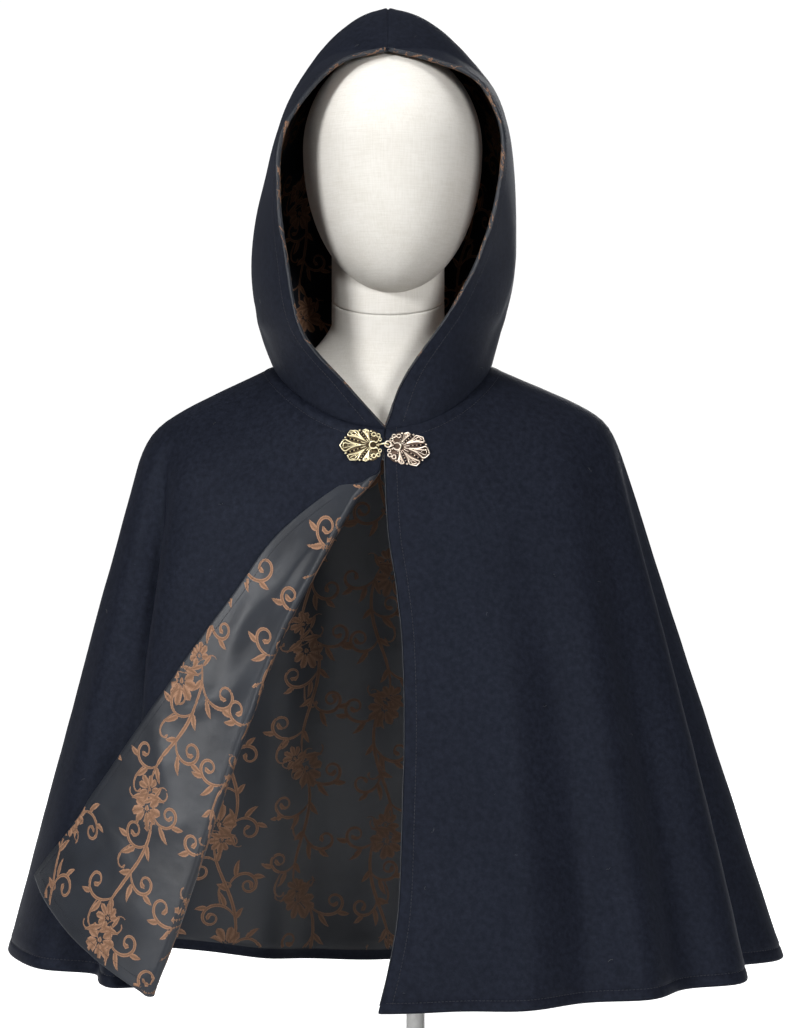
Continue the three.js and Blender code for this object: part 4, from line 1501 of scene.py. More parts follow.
@dataclass
class Cloak:
    """The cloak itself: cape panels, hood halves, lining, pattern and sewing."""

    finishes: Finishes
    cape: CapeShape = field(default_factory=CapeShape)
    hood: HoodShape = field(default_factory=HoodShape)
    pattern: ScrollPattern = field(default_factory=ScrollPattern)
    length: float = 508
    rows: int = 64
    back_columns: int = 132
    front_columns: int = 66
    roll_columns: int = 8
    flap_columns: int = 30
    hem_stitch: float = 7.8
    neck_stitch: float = 7.5
    edge_stitch: float = 8.6
    hood_stitch: float = 12.5
    stitch_length: float = 0.0024
    stitch_pitch: float = 0.003
    lint_density: float = 150
    hem_rise: float = 0.35
    neck_rise: float = 0.5
    hem_groove: tuple[float, float] = (0.75, 1.3)
    neck_groove: tuple[float, float] = (0.6, 1.4)
    seam_groove: tuple[float, float] = (0.8, 2.2)
    edge_groove: tuple[float, float] = (0.7, 1.4)
    hood_groove: tuple[float, float] = (0.55, 1.6)
    crest_groove: tuple[float, float] = (1.3, 0.9)
    crest_ridge: tuple[float, float] = (1.2, 5.5)
    hood_height: float = 420
    flap_wave: tuple[float, float, float] = (1.2, 1.1, 0.5)
    hem_facing: float = 7.5
    facing_depth: float = 3.45
    tape_radius: float = 1.45
    edge_roll: tuple[float, float] = (52, 10)
    hood_roll: tuple[float, float] = (138, 24)

    def __post_init__(self) -> None:
        """Makes the tools that the panels share."""
        self.stitcher = StitchTool(self.finishes.thread)
        self.linter = LintTool(self.finishes.lint)

    def downs(self) -> Grid:
        """The sections of the cape, closer together at the neck, the turn and the hem.

        Returns:
            The sections, from 0 to 1.
        """
        near_neck = np.array([1.5, 3, 5, 6.5, 9]) / self.length
        near_hem = 1 - np.array([10, 8.4, 7.8, 7.2, 6.4, 4, 2, 1]) / self.length
        turn = np.linspace(0.045, 0.125, 21)
        return np.unique(np.round(np.concatenate([np.linspace(0, 1, self.rows), near_neck, near_hem, turn]), 6))

    def dressed(self, at: Grid, into: Grid, downs: Grid, first: Grid, last: Grid, free: Grid) -> Grid:
        """Adds creases, the raised hem and edges, and the dips along seams and stitching.

        Args:
            at: places on the outer face.
            into: the ways into the cloth.
            downs: the section of each row.
            first: each column's distance from a sewn side before it, in millimetres.
            last: each column's distance from a sewn side after it, in millimetres.
            free: how freely each place moves, from 0 to 1.

        Returns:
            The new places.
        """
        hem = (1 - downs)[:, None] * self.length
        neck = downs[:, None] * self.length
        out = self.cape.creased(at) * free * smoothstep(neck, 4, 40)
        out = out + self.hem_rise * (1 - smoothstep(hem, 8, 14))
        out = out - dip(hem - self.hem_stitch, self.hem_groove)
        out = out + self.neck_rise * smoothstep(neck, 0.5, 3) * (1 - smoothstep(neck, 7, 11))
        out = out - dip(neck - self.neck_stitch, self.neck_groove) - self.neck_rise * (1 - smoothstep(neck, 0, 2.5))
        for away in (first, last):
            out = out - dip(away, self.seam_groove)
        return at - into * out[..., None]

    def sides(self, at: Grid) -> tuple[Grid, Grid]:
        """How far each column lies from a panel's first and last columns.

        Args:
            at: the panel's places.

        Returns:
            Both distances, in millimetres.
        """
        steps = np.linalg.norm(np.diff(at, axis=1), axis=2)
        first = np.concatenate([np.zeros((len(at), 1)), np.cumsum(steps, axis=1)], 1)
        return first, first[:, -1:] - first

    def rolled(self, at: Grid, into: Grid, turn: tuple[float, float], first: bool) -> tuple[Grid, Grid]:
        """Rolls the lining out over an edge of the wool.

        Args:
            at: places on the grid.
            into: the ways into the cloth.
            turn: how far it rolls over, and how unevenly, in degrees.
            first: whether the edge is the first column or the last.

        Returns:
            The grid with the roll's columns added.
        """
        edge, near = (0, 1) if first else (-1, -2)
        inward = into[:, edge]
        away = at[:, edge] - at[:, near]
        away = unit(away - (away * inward).sum(-1, keepdims=True) * inward)
        centre = at[:, edge] + inward * Cloth.WOOL.value[1] / 2
        reach = turn[0] + turn[1] * (unevenness(centre, 16, 5.3) * 1.6 + 0.6 * unevenness(centre, 6, 2.2))
        added_at, added_into = [], []
        for share in (0.2, 0.4, 0.6, 0.8, 1.0):
            angle = np.radians(reach * share)[:, None]
            way = np.cos(angle) * inward + np.sin(angle) * away
            added_into.append(way)
            added_at.append(centre - way * Cloth.WOOL.value[1] / 2)
        new_at, new_into = np.stack(added_at, 1), np.stack(added_into, 1)
        if first:
            return (
                np.concatenate([new_at[:, ::-1], at], 1),
                np.concatenate([new_into[:, ::-1], into], 1),
            )
        return np.concatenate([at, new_at], 1), np.concatenate([into, new_into], 1)

    def cape_grid(self, low: float, high: float, columns: int) -> tuple[Grid, Grid]:
        """A panel as a grid, with closer columns at its sides.

        Args:
            low: the bearing of its first side.
            high: the bearing of its last side.
            columns: how many even columns it has.

        Returns:
            The places and the ways into the cloth.
        """
        turns = np.linspace(low, high, columns)
        near = np.array([0.12, 0.25, 0.45, 0.7, 1.1, 1.6, 2.1])
        turns = np.unique(np.concatenate([turns, low + near, high - near]))
        turn, down = np.meshgrid(turns, self.downs())
        return self.cape.cape(turn, down), -outward_of(self.cape.cape, turn, down)

    def build(self) -> None:
        """Builds every panel, its lining, its pattern and its sewing."""
        self.build_back()
        self.build_left_front()
        self.build_right_front()
        for side in Side:
            self.build_hood(side)
        self.build_neck_tape()

    def build_neck_tape(self) -> None:
        """Builds the tape that covers the neck seam on the inside."""
        bearings = np.linspace(1.5, 357, 180)
        ring = self.cape.neck.point(bearings)
        out = outward_of(self.cape.smooth, bearings, np.zeros_like(bearings))
        level = unit(ring * (1, 1, 0))
        points, faces = tube(ring - out * 1.75 - level * 0.7, self.tape_radius, sides=8)
        declare(make_mesh("neck_tape", points, faces, self.finishes.wool), "wool")

    def lining_depth(self, at: Grid) -> Grid:
        """The lining's inner face, the same all over."""
        return np.full(at.shape[:2], Cloth.LINING.value[1])

    def wool_depth(self, at: Grid, downs: Grid, facing: Grid) -> Grid:
        """The wool's inner face, deeper where the hem is turned up over the lining.

        Args:
            at: the panel's places.
            downs: the section of each row.
            facing: 1 where the hem is turned up.

        Returns:
            The depths, in millimetres.
        """
        hem = (1 - downs)[:, None] * self.length
        turned_up = (1 - smoothstep(hem, self.hem_facing, self.hem_facing + 0.9)) * facing
        return Cloth.WOOL.value[1] + (self.facing_depth - Cloth.WOOL.value[1]) * turned_up * np.ones(at.shape[:2])

    def make_panel(
        self, name: str, at: Grid, into: Grid, facing: Grid, lining_at: Grid, lining_into: Grid,
        sewing: list[Grid], seed: int, start: int, straight: float | None = None,
        downs: Grid | None = None,
    ) -> None:
        """Makes one panel of wool with its lining, pattern, stitches and lint.

        Args:
            name: the panel's name, as the solids have it.
            at: the wool's outer face.
            into: the ways into the cloth.
            facing: 1 where the hem's turned-up wool covers the lining.
            lining_at: the lining's grid, which may be wider where it rolls over an edge.
            lining_into: its ways into the cloth.
            sewing: lines of stitches on the panel.
            seed: fixes the small differences.
            start: the column that the flat cut begins from.
            straight: the flat cut's inner radius, where its rows are nearly straight.
            downs: the section of each row, for a cape panel.
        """
        finishes = self.finishes
        depth = np.full(at.shape[:2], Cloth.WOOL.value[1]) if downs is None else self.wool_depth(at, downs, facing)
        cut = FlatCut(at, start, straight)
        wool = Wall(f"{name}_cloth", at, into, depth, Cloth.WOOL.value[0], flat=cut.flat()).build(finishes.wool)
        lining_cut = FlatCut(lining_at + lining_into * Cloth.LINING.value[1], start, straight)
        lining = Wall(
            f"{name}_satin", lining_at, lining_into, self.lining_depth(lining_at), Cloth.LINING.value[0],
            0.6, lining_cut.flat(),
        ).build(finishes.satin)
        face = lining_at + lining_into * Cloth.LINING.value[1]
        scrolls = self.pattern.build(f"{name}_scrolls", lining_cut, face, lining_into, finishes.flock, seed)
        stitches = self.stitcher.sew(f"{name}_stitches", sewing, self.stitch_length, self.stitch_pitch)
        lint = self.linter.scatter(f"{name}_lint", at, self.lint_density)
        declare(wool, "wool", f"{name}_wool")
        declare(lining, "lining", f"{name}_lining")
        declare(scrolls, "lining")
        declare(stitches, "wool")
        declare(lint, "wool")
        flat, area = cut.size()
        lining_flat, lining_area = lining_cut.size()
        LOG.info("%s: flat %.3f by %.3f m, %.4f square metres", name, *flat, area)

    def line_along(self, at: Grid, into: Grid, column_at: Grid, depth: float = -0.1) -> Grid:
        """A line down a grid.

        Args:
            at: the grid's places.
            into: its ways into the cloth.
            column_at: a part column for each row.
            depth: how deep in the cloth the line lies.

        Returns:
            The line's places.
        """
        low = np.clip(np.floor(column_at).astype(int), 0, at.shape[1] - 2)
        share = (column_at - low)[:, None]
        rows = np.arange(len(at))
        places = at[rows, low] * (1 - share) + at[rows, low + 1] * share
        return places + (into[rows, low] * (1 - share) + into[rows, low + 1] * share) * depth

    def across(self, at: Grid, into: Grid, downs: Grid, hem: slice, neck: slice) -> list[Grid]:
        """The stitch lines above a panel's hem and below its neck.

        Args:
            at: the panel's places.
            into: the ways into the cloth.
            downs: the section of each row.
            hem: the columns that the hem's line crosses.
            neck: the columns that the neck's line crosses.

        Returns:
            Both lines.
        """
        levels = (1 - self.hem_stitch / self.length, self.neck_stitch / self.length)
        lines = []
        for level, columns in zip(levels, (hem, neck)):
            row = int(np.argmin(np.abs(downs - level)))
            lines.append(at[row, columns] - into[row, columns] * 0.05)
        return lines

    def lining_rows(self, at: Grid, into: Grid, downs: Grid) -> tuple[Grid, Grid]:
        """The lining's rows: the last ones stop under the turned-up hem."""
        end = int(np.searchsorted(downs, 1 - (self.hem_facing - 0.6) / self.length))
        return at[: end + 1], into[: end + 1]

    def build_back(self) -> None:
        """Builds the back panel."""
        downs = self.downs()
        at, into = self.cape_grid(90, 270, self.back_columns)
        first, last = self.sides(at)
        at = self.dressed(at, into, downs, first, last, np.ones(at.shape[:2]))
        sewing = self.across(at, into, downs, slice(None), slice(None))
        lining_at, lining_into = self.lining_rows(at, into, downs)
        self.make_panel(
            "back", at, into, np.ones(at.shape[:2]), lining_at, lining_into, sewing, 21,
            at.shape[1] // 2, None, downs,
        )

    def build_left_front(self) -> None:
        """Builds the wearer's left front, which hangs straight."""
        downs = self.downs()
        at, into = self.cape_grid(0, 90, self.front_columns)
        first, last = self.sides(at)
        at = self.dressed(at, into, downs, np.full_like(first, 99), last, np.ones(at.shape[:2]))
        groove = dip(first - self.edge_stitch, self.edge_groove) * smoothstep(downs, 0.04, 0.06)[:, None]
        at = at + into * groove[..., None]
        sewing = self.across(at, into, downs, slice(4, None), slice(4, None))
        column = np.array([np.interp(self.edge_stitch, row, np.arange(len(row))) for row in first])
        sewing.append(self.line_along(at, into, column)[:-6])
        lining_at, lining_into = self.lining_rows(at, into, downs)
        lining_at, lining_into = self.rolled(lining_at, lining_into, self.edge_roll, True)
        self.make_panel(
            "front_left", at, into, np.ones(at.shape[:2]), lining_at, lining_into, sewing, 35,
            5, None, downs,
        )

    def build_right_front(self) -> None:
        """Builds the wearer's right front, with its roll and its turned-back flap."""
        downs = self.downs()
        at, into = self.cape_grid(270, 360, self.front_columns)
        shape = self.cape
        turned = smoothstep(downs, shape.turn_start, shape.turn_full)[:, None]
        roll_part = np.arange(1, self.roll_columns + 1)[None, :] / self.roll_columns
        flap_part = np.linspace(0, 1, self.flap_columns + 1)[None, 1:]
        roll_at, roll_into = shape.roll(downs[:, None], roll_part * turned)
        start_at, start_into = shape.roll(downs[:, None], np.ones_like(flap_part) * turned)
        flap_at, flap_into = shape.flap(downs[:, None], flap_part)
        lies = (turned >= 1)[..., None]
        flap_at, flap_into = np.where(lies, flap_at, start_at), np.where(lies, flap_into, start_into)
        free_flap = smoothstep(flap_part, 0, 0.3) * smoothstep(downs, 0.12, 0.3)[:, None]
        even, broad, fine = self.flap_wave
        wave = even + broad * unevenness(flap_at, 60, 4.4) + fine * unevenness(flap_at, 22, 9.4)
        wave += crease_height(flap_at, shape.flap_creases, lambda part, down: shape.flap(down, part)[0])
        flap_at = flap_at + flap_into * (np.maximum(wave, 0) * free_flap)[..., None]
        first, last = self.sides(at)
        free = 1 - smoothstep(first / (first + last), 0.8, 1)
        at = self.dressed(at, into, downs, first, np.full_like(first, 99), free)
        all_at = np.concatenate([at, roll_at, flap_at], 1)
        all_into = np.concatenate([into, roll_into, flap_into], 1)
        facing = np.ones(all_at.shape[:2])
        facing[:, at.shape[1] :] = 0
        facing[:, at.shape[1] - 5 : at.shape[1]] = np.linspace(1, 0, 5)
        sewing = self.across(all_at, all_into, downs, slice(at.shape[1] - 2), slice(at.shape[1] - 3))
        lining_top = all_at + all_into * (Cloth.LINING.value[1] + 0.1)
        flap_first = at.shape[1] + self.roll_columns
        low = int(np.argmin(np.abs(downs - 1 + self.hem_stitch / self.length)))
        sewing.append(lining_top[low, flap_first:-3])
        _, from_edge = self.sides(all_at)
        column = [np.interp(-self.edge_stitch * 0.75, -row, np.arange(len(row))) for row in from_edge]
        edge_line = self.line_along(all_at, all_into, np.array(column), Cloth.LINING.value[1] + 0.1)
        sewing.append(edge_line[int(np.searchsorted(downs, 0.14)) : low])
        self.make_panel(
            "front_right", all_at, all_into, facing, all_at, all_into, sewing, 48,
            at.shape[1] - 1, None, downs,
        )

    def build_hood(self, side: Side) -> None:
        """Builds one half of the hood.

        Args:
            side: which half.
        """
        part = np.unique(np.concatenate([np.linspace(0, 1, 46), [0.004, 0.01, 0.016, 0.984, 0.99, 0.996]]))
        up = np.unique(np.concatenate([np.linspace(0, 1, 52), [0.004, 0.01, 0.016, 0.988]]))[::-1]
        at, into = self.hood.half(side, part, up)
        first, last = self.sides(at)
        rise = up[:, None] * self.hood_height
        groove = dip(last, self.crest_groove) - dip(last, self.crest_ridge)
        groove = groove * (1 - smoothstep(up, 0.93, 1))[:, None] + dip(rise, (0.6, 2.5))
        groove += dip(first - self.hood_stitch, self.hood_groove) * smoothstep(rise, 6, 20) * (up[:, None] < 0.96)
        at = at + into * groove[..., None]
        column = np.array([np.interp(self.hood_stitch, row, np.arange(len(row))) for row in first])
        sewing = [self.line_along(at, into, column)[3:-3]]
        lining_at, lining_into = self.rolled(at, into, self.hood_roll, True)
        if side is Side.RIGHT:
            at, into, lining_at, lining_into = (g[:, ::-1] for g in (at, into, lining_at, lining_into))
        name = f"hood_{side.name.lower()}"
        start = 5 if side is Side.LEFT else at.shape[1] - 1
        self.make_panel(
            name, at, into, np.zeros(at.shape[:2]), lining_at, lining_into, sewing,
            60 + side.value, start, 2400,
        )


@dataclass
class Clasp:
    """The clasp: two pierced fan plates, one with a hook and one with a ring."""

    finishes: Finishes
    cape: CapeShape
    reach: float = 26
    shoulder: float = 13.5
    narrow: float = 7
    lobes: int = 5
    notch: float = 0.2
    petal: tuple[tuple[float, float], ...] = (
        (0.34, 1.5), (0.5, 4.5), (0.66, 8), (0.8, 12), (0.88, 13.5), (0.93, 10), (0.96, 5), (1, 0),
    )
    gaps: tuple[float, ...] = (-2.5, -1.5, -0.5, 0.5, 1.5, 2.5)
    lift: float = 0.3
    ring: float = 2.6
    ring_height: float = 2.4
    wire: float = 0.7
    thick: float = 0.7
    bead_rings: int = 5
    bead_sides: int = 8
    hook_route: tuple[tuple[float, float], ...] = (
        (2.5, 0.9), (-0.3, 2.7), (-2.2, 4.3), (-4.6, 5.1), (-6.6, 4.4), (-7.5, 2.9), (-7.6, 1.5),
    )

    def rim(self, angle: float, share: float = 1.0) -> tuple[float, float]:
        """A place of the plate.

        Args:
            angle: radians from the long axis.
            share: the share of the way out to the rim.

        Returns:
            The place, in the plate's own millimetres.
        """
        fore = math.cos(angle)
        if fore < 0:
            reach = self.shoulder + (self.narrow - self.shoulder) * fore**2
        else:
            lobe = abs(math.cos(self.lobes * angle)) ** 0.6
            full = self.shoulder + (self.reach - self.shoulder) * fore**2
            reach = full * (1 - self.notch * (1 - lobe) * min(2 * fore, 1))
        return self.narrow + share * reach * math.cos(angle), share * reach * math.sin(angle)

    def dome(self, x: float, y: float) -> float:
        """How high the plate's face stands at a place."""
        return 1.5 - 0.0036 * ((x - 14) ** 2 + 1.7 * y * y)

    def bead(self, x: float, y: float, z: float, radius: float) -> tuple[Grid, list]:
        """A small ball on the plate.

        Args:
            x: its middle's place along.
            y: its middle's place across.
            z: its middle's height.
            radius: its radius.

        Returns:
            Its points and faces.
        """
        tilts = np.linspace(0, math.pi, self.bead_rings + 1)
        profile = [(radius * math.sin(tilt), z - radius * math.cos(tilt)) for tilt in tilts]
        return skin(lathe(profile, x, y, self.bead_sides))

    def spot(self, degrees: float, share: float) -> tuple[float, float]:
        """A place among the petals.

        Args:
            degrees: its angle from the long axis.
            share: the share of the full petals' reach.

        Returns:
            The place, in the plate's own millimetres.
        """
        angle = math.radians(degrees)
        fore = max(math.cos(angle), 0)
        reach = (self.shoulder + (self.reach - self.shoulder) * fore**2) * share
        return self.narrow + reach * math.cos(angle), reach * math.sin(angle)

    def sheet(self) -> tuple[Grid, list]:
        """The plate's pierced sheet, domed.

        Returns:
            Its points and faces.
        """
        outline = [self.rim(2 * math.pi * k / 150) for k in range(150)]
        pitch = 180 / self.lobes
        holes = []
        for gap in self.gaps:
            for share, half in ((0.4, 0.62), (0.53, 0.8), (0.67, 1.0), (0.8, 1.05)):
                if abs(gap) < 2 or share > 0.45:
                    x, y = self.spot(gap * pitch, share)
                    way = math.radians(gap * pitch)
                    square = ((half, half), (-half, half), (-half, -half), (half, -half))
                    turned = [
                        (x + u * math.cos(way) - v * math.sin(way), y + u * math.sin(way) + v * math.cos(way))
                        for u, v in square
                    ]
                    holes.append(turned)
        loops = [outline, *holes]
        flat = [p for loop in loops for p in loop]
        tris = tessellate_polygon([[Vector((*p, 0)) for p in loop] for loop in loops])
        top = [(x, y, self.dome(x, y)) for x, y in flat]
        low = [(x, y, self.dome(x, y) - self.thick) for x, y in flat]
        count = len(flat)
        faces = []
        for a, b, c in tris:
            pa, pb, pc = (flat[k] for k in (a, b, c))
            turn = (pb[0] - pa[0]) * (pc[1] - pa[1]) - (pb[1] - pa[1]) * (pc[0] - pa[0])
            a, b, c = (a, b, c) if turn > 0 else (a, c, b)
            faces.append([a, b, c])
            faces.append([a + count, c + count, b + count])
        start = 0
        for k, loop in enumerate(loops):
            size = len(loop)
            area = sum(
                loop[m][0] * loop[(m + 1) % size][1] - loop[(m + 1) % size][0] * loop[m][1] for m in range(size)
            )
            solid_on_left = (area > 0) == (k == 0)
            for m in range(size):
                p, q = start + m, start + (m + 1) % size
                faces.append([p, p + count, q + count, q] if solid_on_left else [q, q + count, p + count, p])
            start += size
        return np.array(top + low), faces

    def ornament(self) -> list[tuple[Grid, list]]:
        """The raised work on a plate: petals, rays, beads, scrolls and the horseshoe.

        Returns:
            The points and faces of each piece.
        """
        def raised(places: list, up: float = 0.1) -> list:
            """Sets flat places a little above the domed sheet."""
            return [(x, y, self.dome(x, y) + up) for x, y in places]

        pitch = 180 / self.lobes
        shape = Table(("share", "wide"), self.petal)
        shares = np.concatenate([np.linspace(self.petal[0][0], 0.9, 12), [0.93, 0.96, 0.985]])
        made = []
        for lobe in range(-2, 3):
            middle, slim = lobe * pitch, 1 - 0.13 * abs(lobe)
            one = [self.spot(middle + slim * float(shape.read("wide", s)), s) for s in shares]
            two = [self.spot(middle - slim * float(shape.read("wide", s)), s) for s in shares]
            made.append(tube(raised([*one, self.spot(middle, 1.0), *two[::-1]], 0.42), 0.56, True, 7))
            inner = [self.spot(middle + 0.42 * slim * float(shape.read("wide", s)), s) for s in shares[3:12]]
            other = [self.spot(middle - 0.42 * slim * float(shape.read("wide", s)), s) for s in shares[3:12]]
            made.append(tube(raised([*inner, self.spot(middle, 0.9), *other[::-1]], 0.1), 0.4, True, 6))
            made.append(self.bead(*raised([self.spot(middle, 0.74)], 0.05)[0], 0.55))
        for half_step in range(-5, 6):
            ray = [self.spot(half_step * pitch / 2, s) for s in np.linspace(0.17, 0.36, 4)]
            made.append(tube(raised(ray, 0.3), 0.32, sides=6))
        for gap in self.gaps:
            made.append(self.bead(*raised([self.spot(gap * pitch, 0.91)], 0.35)[0], 0.95))
            for share in (0.465, 0.6, 0.735):
                made.append(self.bead(*raised([self.spot(gap * pitch, share)], 0.15)[0], 0.42))
        for side in (-1, 1):
            for degrees, share, size in ((104, 0.72, 1.7), (126, 0.78, 1.5), (147, 0.66, 1.35)):
                x, y = self.spot(side * degrees, share)
                ring = [(x + size * math.cos(t), y + size * math.sin(t)) for t in np.linspace(0, 6.28, 13)[:-1]]
                made.append(tube(raised(ring, 0.3), 0.5, True, 6))
        shoe = [(5.2 + 3.1 * math.cos(t), 3.1 * math.sin(t)) for t in np.linspace(-2.45, 2.45, 22)]
        shoe = [(1.4, -3.6), (2.0, -2.6), *shoe, (2.0, 2.6), (1.4, 3.6)]
        made.append(tube(raised(shoe, 0.42), 0.62))
        made.append(tube(raised([(0.6, -1.2), (1.2, 0), (0.6, 1.2)], 0.3), 0.55))
        return made

    def fitting(self, hooked: bool) -> list[tuple[Grid, list]]:
        """The hook, or the ring and its neck.

        Args:
            hooked: whether the plate has the hook.

        Returns:
            The points and faces of each piece.
        """
        if hooked:
            table = Table(("at", "x", "z"), tuple((k, x, z) for k, (x, z) in enumerate(self.hook_route)))
            at = np.linspace(0, len(self.hook_route) - 1, 34)
            line = np.column_stack([table.read("x", at), np.zeros(len(at)), table.read("z", at)])
            return [tube(list(line), self.wire, sides=12), self.bead(*line[-1], self.wire * 1.12)]
        turn = np.linspace(0, 2 * np.pi, 40, endpoint=False)
        x, y = -self.ring + self.ring * np.cos(turn), self.ring * np.sin(turn)
        circle = np.column_stack([x, y, np.full(len(turn), self.ring_height)])
        neck = [(0.0, 0, self.ring_height), (0.9, 0, 2.0), (2.2, 0, 1.5)]
        return [tube(list(circle), self.wire, True, 12), tube(neck, 0.85)]

    def build(self) -> None:
        """Builds both plates."""
        places = (
            ("clasp_right", 358.4, 0.028, 0.0, -1, self.finishes.yellow_brass),
            ("clasp_left", 2.2, 0.0284, -12.0, 1, self.finishes.rose_brass),
        )
        for name, bearing, down, tilt, sense, material in places:
            out = outward_of(self.cape.cape, np.array(bearing), np.array(down))
            level = np.array([float(sense), 0, 0])
            along = unit(level - (level @ out) * out)
            turn = math.radians(tilt)
            along = along * math.cos(turn) + np.cross(out, along) * math.sin(turn)
            upward = np.cross(out, along)
            at = self.cape.cape(np.array(bearing), np.array(down)) + out * self.lift
            points, faces, wear_and_rim_highlight, size = [], [], [], 0
            for k, (part_points, part_faces) in enumerate([self.sheet(), *self.ornament(), *self.fitting(sense < 0)]):
                points.append(part_points)
                above = part_points[:, 2] - self.dome(part_points[:, 0], part_points[:, 1])
                wear_and_rim_highlight.append(np.clip(0.25 + above, 0, 1) if k else np.full(len(part_points), 0.14))
                faces.extend([[k + size for k in face] for face in part_faces])
                size += len(part_points)
            local = np.concatenate(points)
            placed = at + local[:, :1] * along + local[:, 1:2] * upward + local[:, 2:] * out
            relief = np.concatenate(wear_and_rim_highlight)
            piece = make_mesh(f"{name}_fan", placed, faces, material, np.stack([relief, relief], -1))
            declare(piece, "clasp", f"{name}_plate")


@dataclass
class DisplayForm:
    """The limbless form in its linen cover: an egg head, a neck and shoulders."""

    finishes: Finishes
    cape: CapeShape
    head: tuple[float, float, float] = (4, 0, 811)
    head_half: tuple[float, float] = (78, 98)
    head_up: float = 90.2
    head_down: float = 127
    chin: float = 40
    neck_half: tuple[float, float, float] = (49, 46, 58)
    slant_height: float = 680.3
    slant: float = 0.34
    neck_top: float = 760
    flare_drop: float = 22
    bottom: float = 547
    ridge_gap: float = 0.9
    open_gap: float = 8
    hang_gap: float = 130
    start: float = 0.02
    inset: tuple[float, float, float] = (0.992, 0.992, 1)

    def neck_ring(self, bearings: Grid) -> Grid:
        """The neck's slanted seam.

        Args:
            bearings: degrees round it.

        Returns:
            The seam's places.
        """
        turn = np.radians(bearings)
        fore = np.cos(turn)
        y = -fore * np.where(fore > 0, self.neck_half[1], self.neck_half[2])
        return np.stack([self.neck_half[0] * np.sin(turn), y, self.slant_height + self.slant * y], -1)

    def stack(self, name: str, rings: list[Grid], lids: tuple[bool, bool]) -> bpy.types.Object:
        """A linen cover through rings, with lids on the lowest and the highest where lids says so."""
        return make_mesh(name, *skin(rings, lids), self.finishes.linen)

    def build_head(self) -> None:
        """Builds the head, its neck stub, and its seams."""
        bearings = np.linspace(0, 360, 96, endpoint=False)
        turn, rings = np.radians(bearings), []
        for angle in np.radians(np.linspace(-88, 89.5, 64)):
            height = math.sin(angle) * (self.head_up if angle > 0 else self.head_down)
            out = math.cos(angle)
            low = min(height / self.head_down, 0)
            x = self.head[0] + self.head_half[0] * out * np.sin(turn)
            y = -self.head_half[1] * out * np.cos(turn) - self.chin * low * low
            z = np.full(len(turn), self.head[2] + height)
            ring = np.stack([x, y, z], -1)
            middle = np.array([self.head[0], -self.chin * low * low, self.head[2] + height])
            aside = np.minimum(bearings, 360 - bearings) * out
            seam = 0.35 * np.exp(-((aside / 0.9) ** 2)) - 0.3 * np.exp(-(((aside - 2.6) / 1.2) ** 2))
            ring -= unit(ring - middle) * seam[:, None]
            rings.append(ring)
        head = self.stack("form_head_cover", rings, (True, True))
        neck_rings = []
        for level in np.linspace(0, 1, 16) ** 1.4:
            ring = self.neck_ring(bearings)
            ring[:, 2] = (ring[:, 2] + SEAM) * (1 - level) + self.neck_top * level
            neck_rings.append(ring)
        neck_rings[0] = neck_rings[0] * self.inset
        neck = self.stack("form_neck_cover", neck_rings, (True, False))
        declare(head, "form", "form_head")
        declare(neck, "form")

    def yoke(self, bearing: Grid, down: Grid) -> Grid:
        """Places on the form's shoulders, inside the cape.

        Args:
            bearing: degrees round the body.
            down: sections of the cape.

        Returns:
            The places.
        """
        fore = np.cos(np.radians(bearing))
        inside = Cloth.LINING.value[1] + self.ridge_gap + self.open_gap * fore**2
        inside = inside + self.hang_gap * self.cape.lengths(down)[1]
        out = outward_of(self.cape.smooth, bearing, down, (-90, 450))
        return self.cape.smooth(bearing, down) - out * inside[..., None]

    def build_shoulders(self) -> None:
        """Builds the shoulders and the neck up to its slanted seam."""
        bearings = np.linspace(0, 360, 108, endpoint=False)
        low, high = np.full(108, self.start), np.full(108, 0.5)
        for _ in range(40):
            middle = (low + high) / 2
            above = self.yoke(bearings, middle)[:, 2] > self.bottom
            low, high = np.where(above, middle, low), np.where(above, high, middle)
        rings = [self.yoke(bearings, self.start + (low - self.start) * s) for s in np.linspace(1, 0, 22)]
        collar = rings[-1]
        cut = self.neck_ring(bearings)
        flare = cut - np.array([0, 0, self.flare_drop])
        corner = collar + (flare - collar) * 0.75
        corner[:, 2] = collar[:, 2] + (flare[:, 2] - collar[:, 2]) * 0.3
        for s in np.linspace(0, 1, 14)[1:]:
            rings.append(collar * (1 - s) ** 2 + 2 * corner * s * (1 - s) + flare * s * s)
        for s in (0.3, 0.6, 0.85, 0.94):
            rings.append(flare + (cut - flare) * s)
        rings.append(cut * self.inset)
        declare(self.stack("form_shoulders_cover", rings, (True, True)), "form", "form_shoulders")

    def build(self) -> None:
        """Builds the form."""
        self.build_shoulders()
        self.build_head()


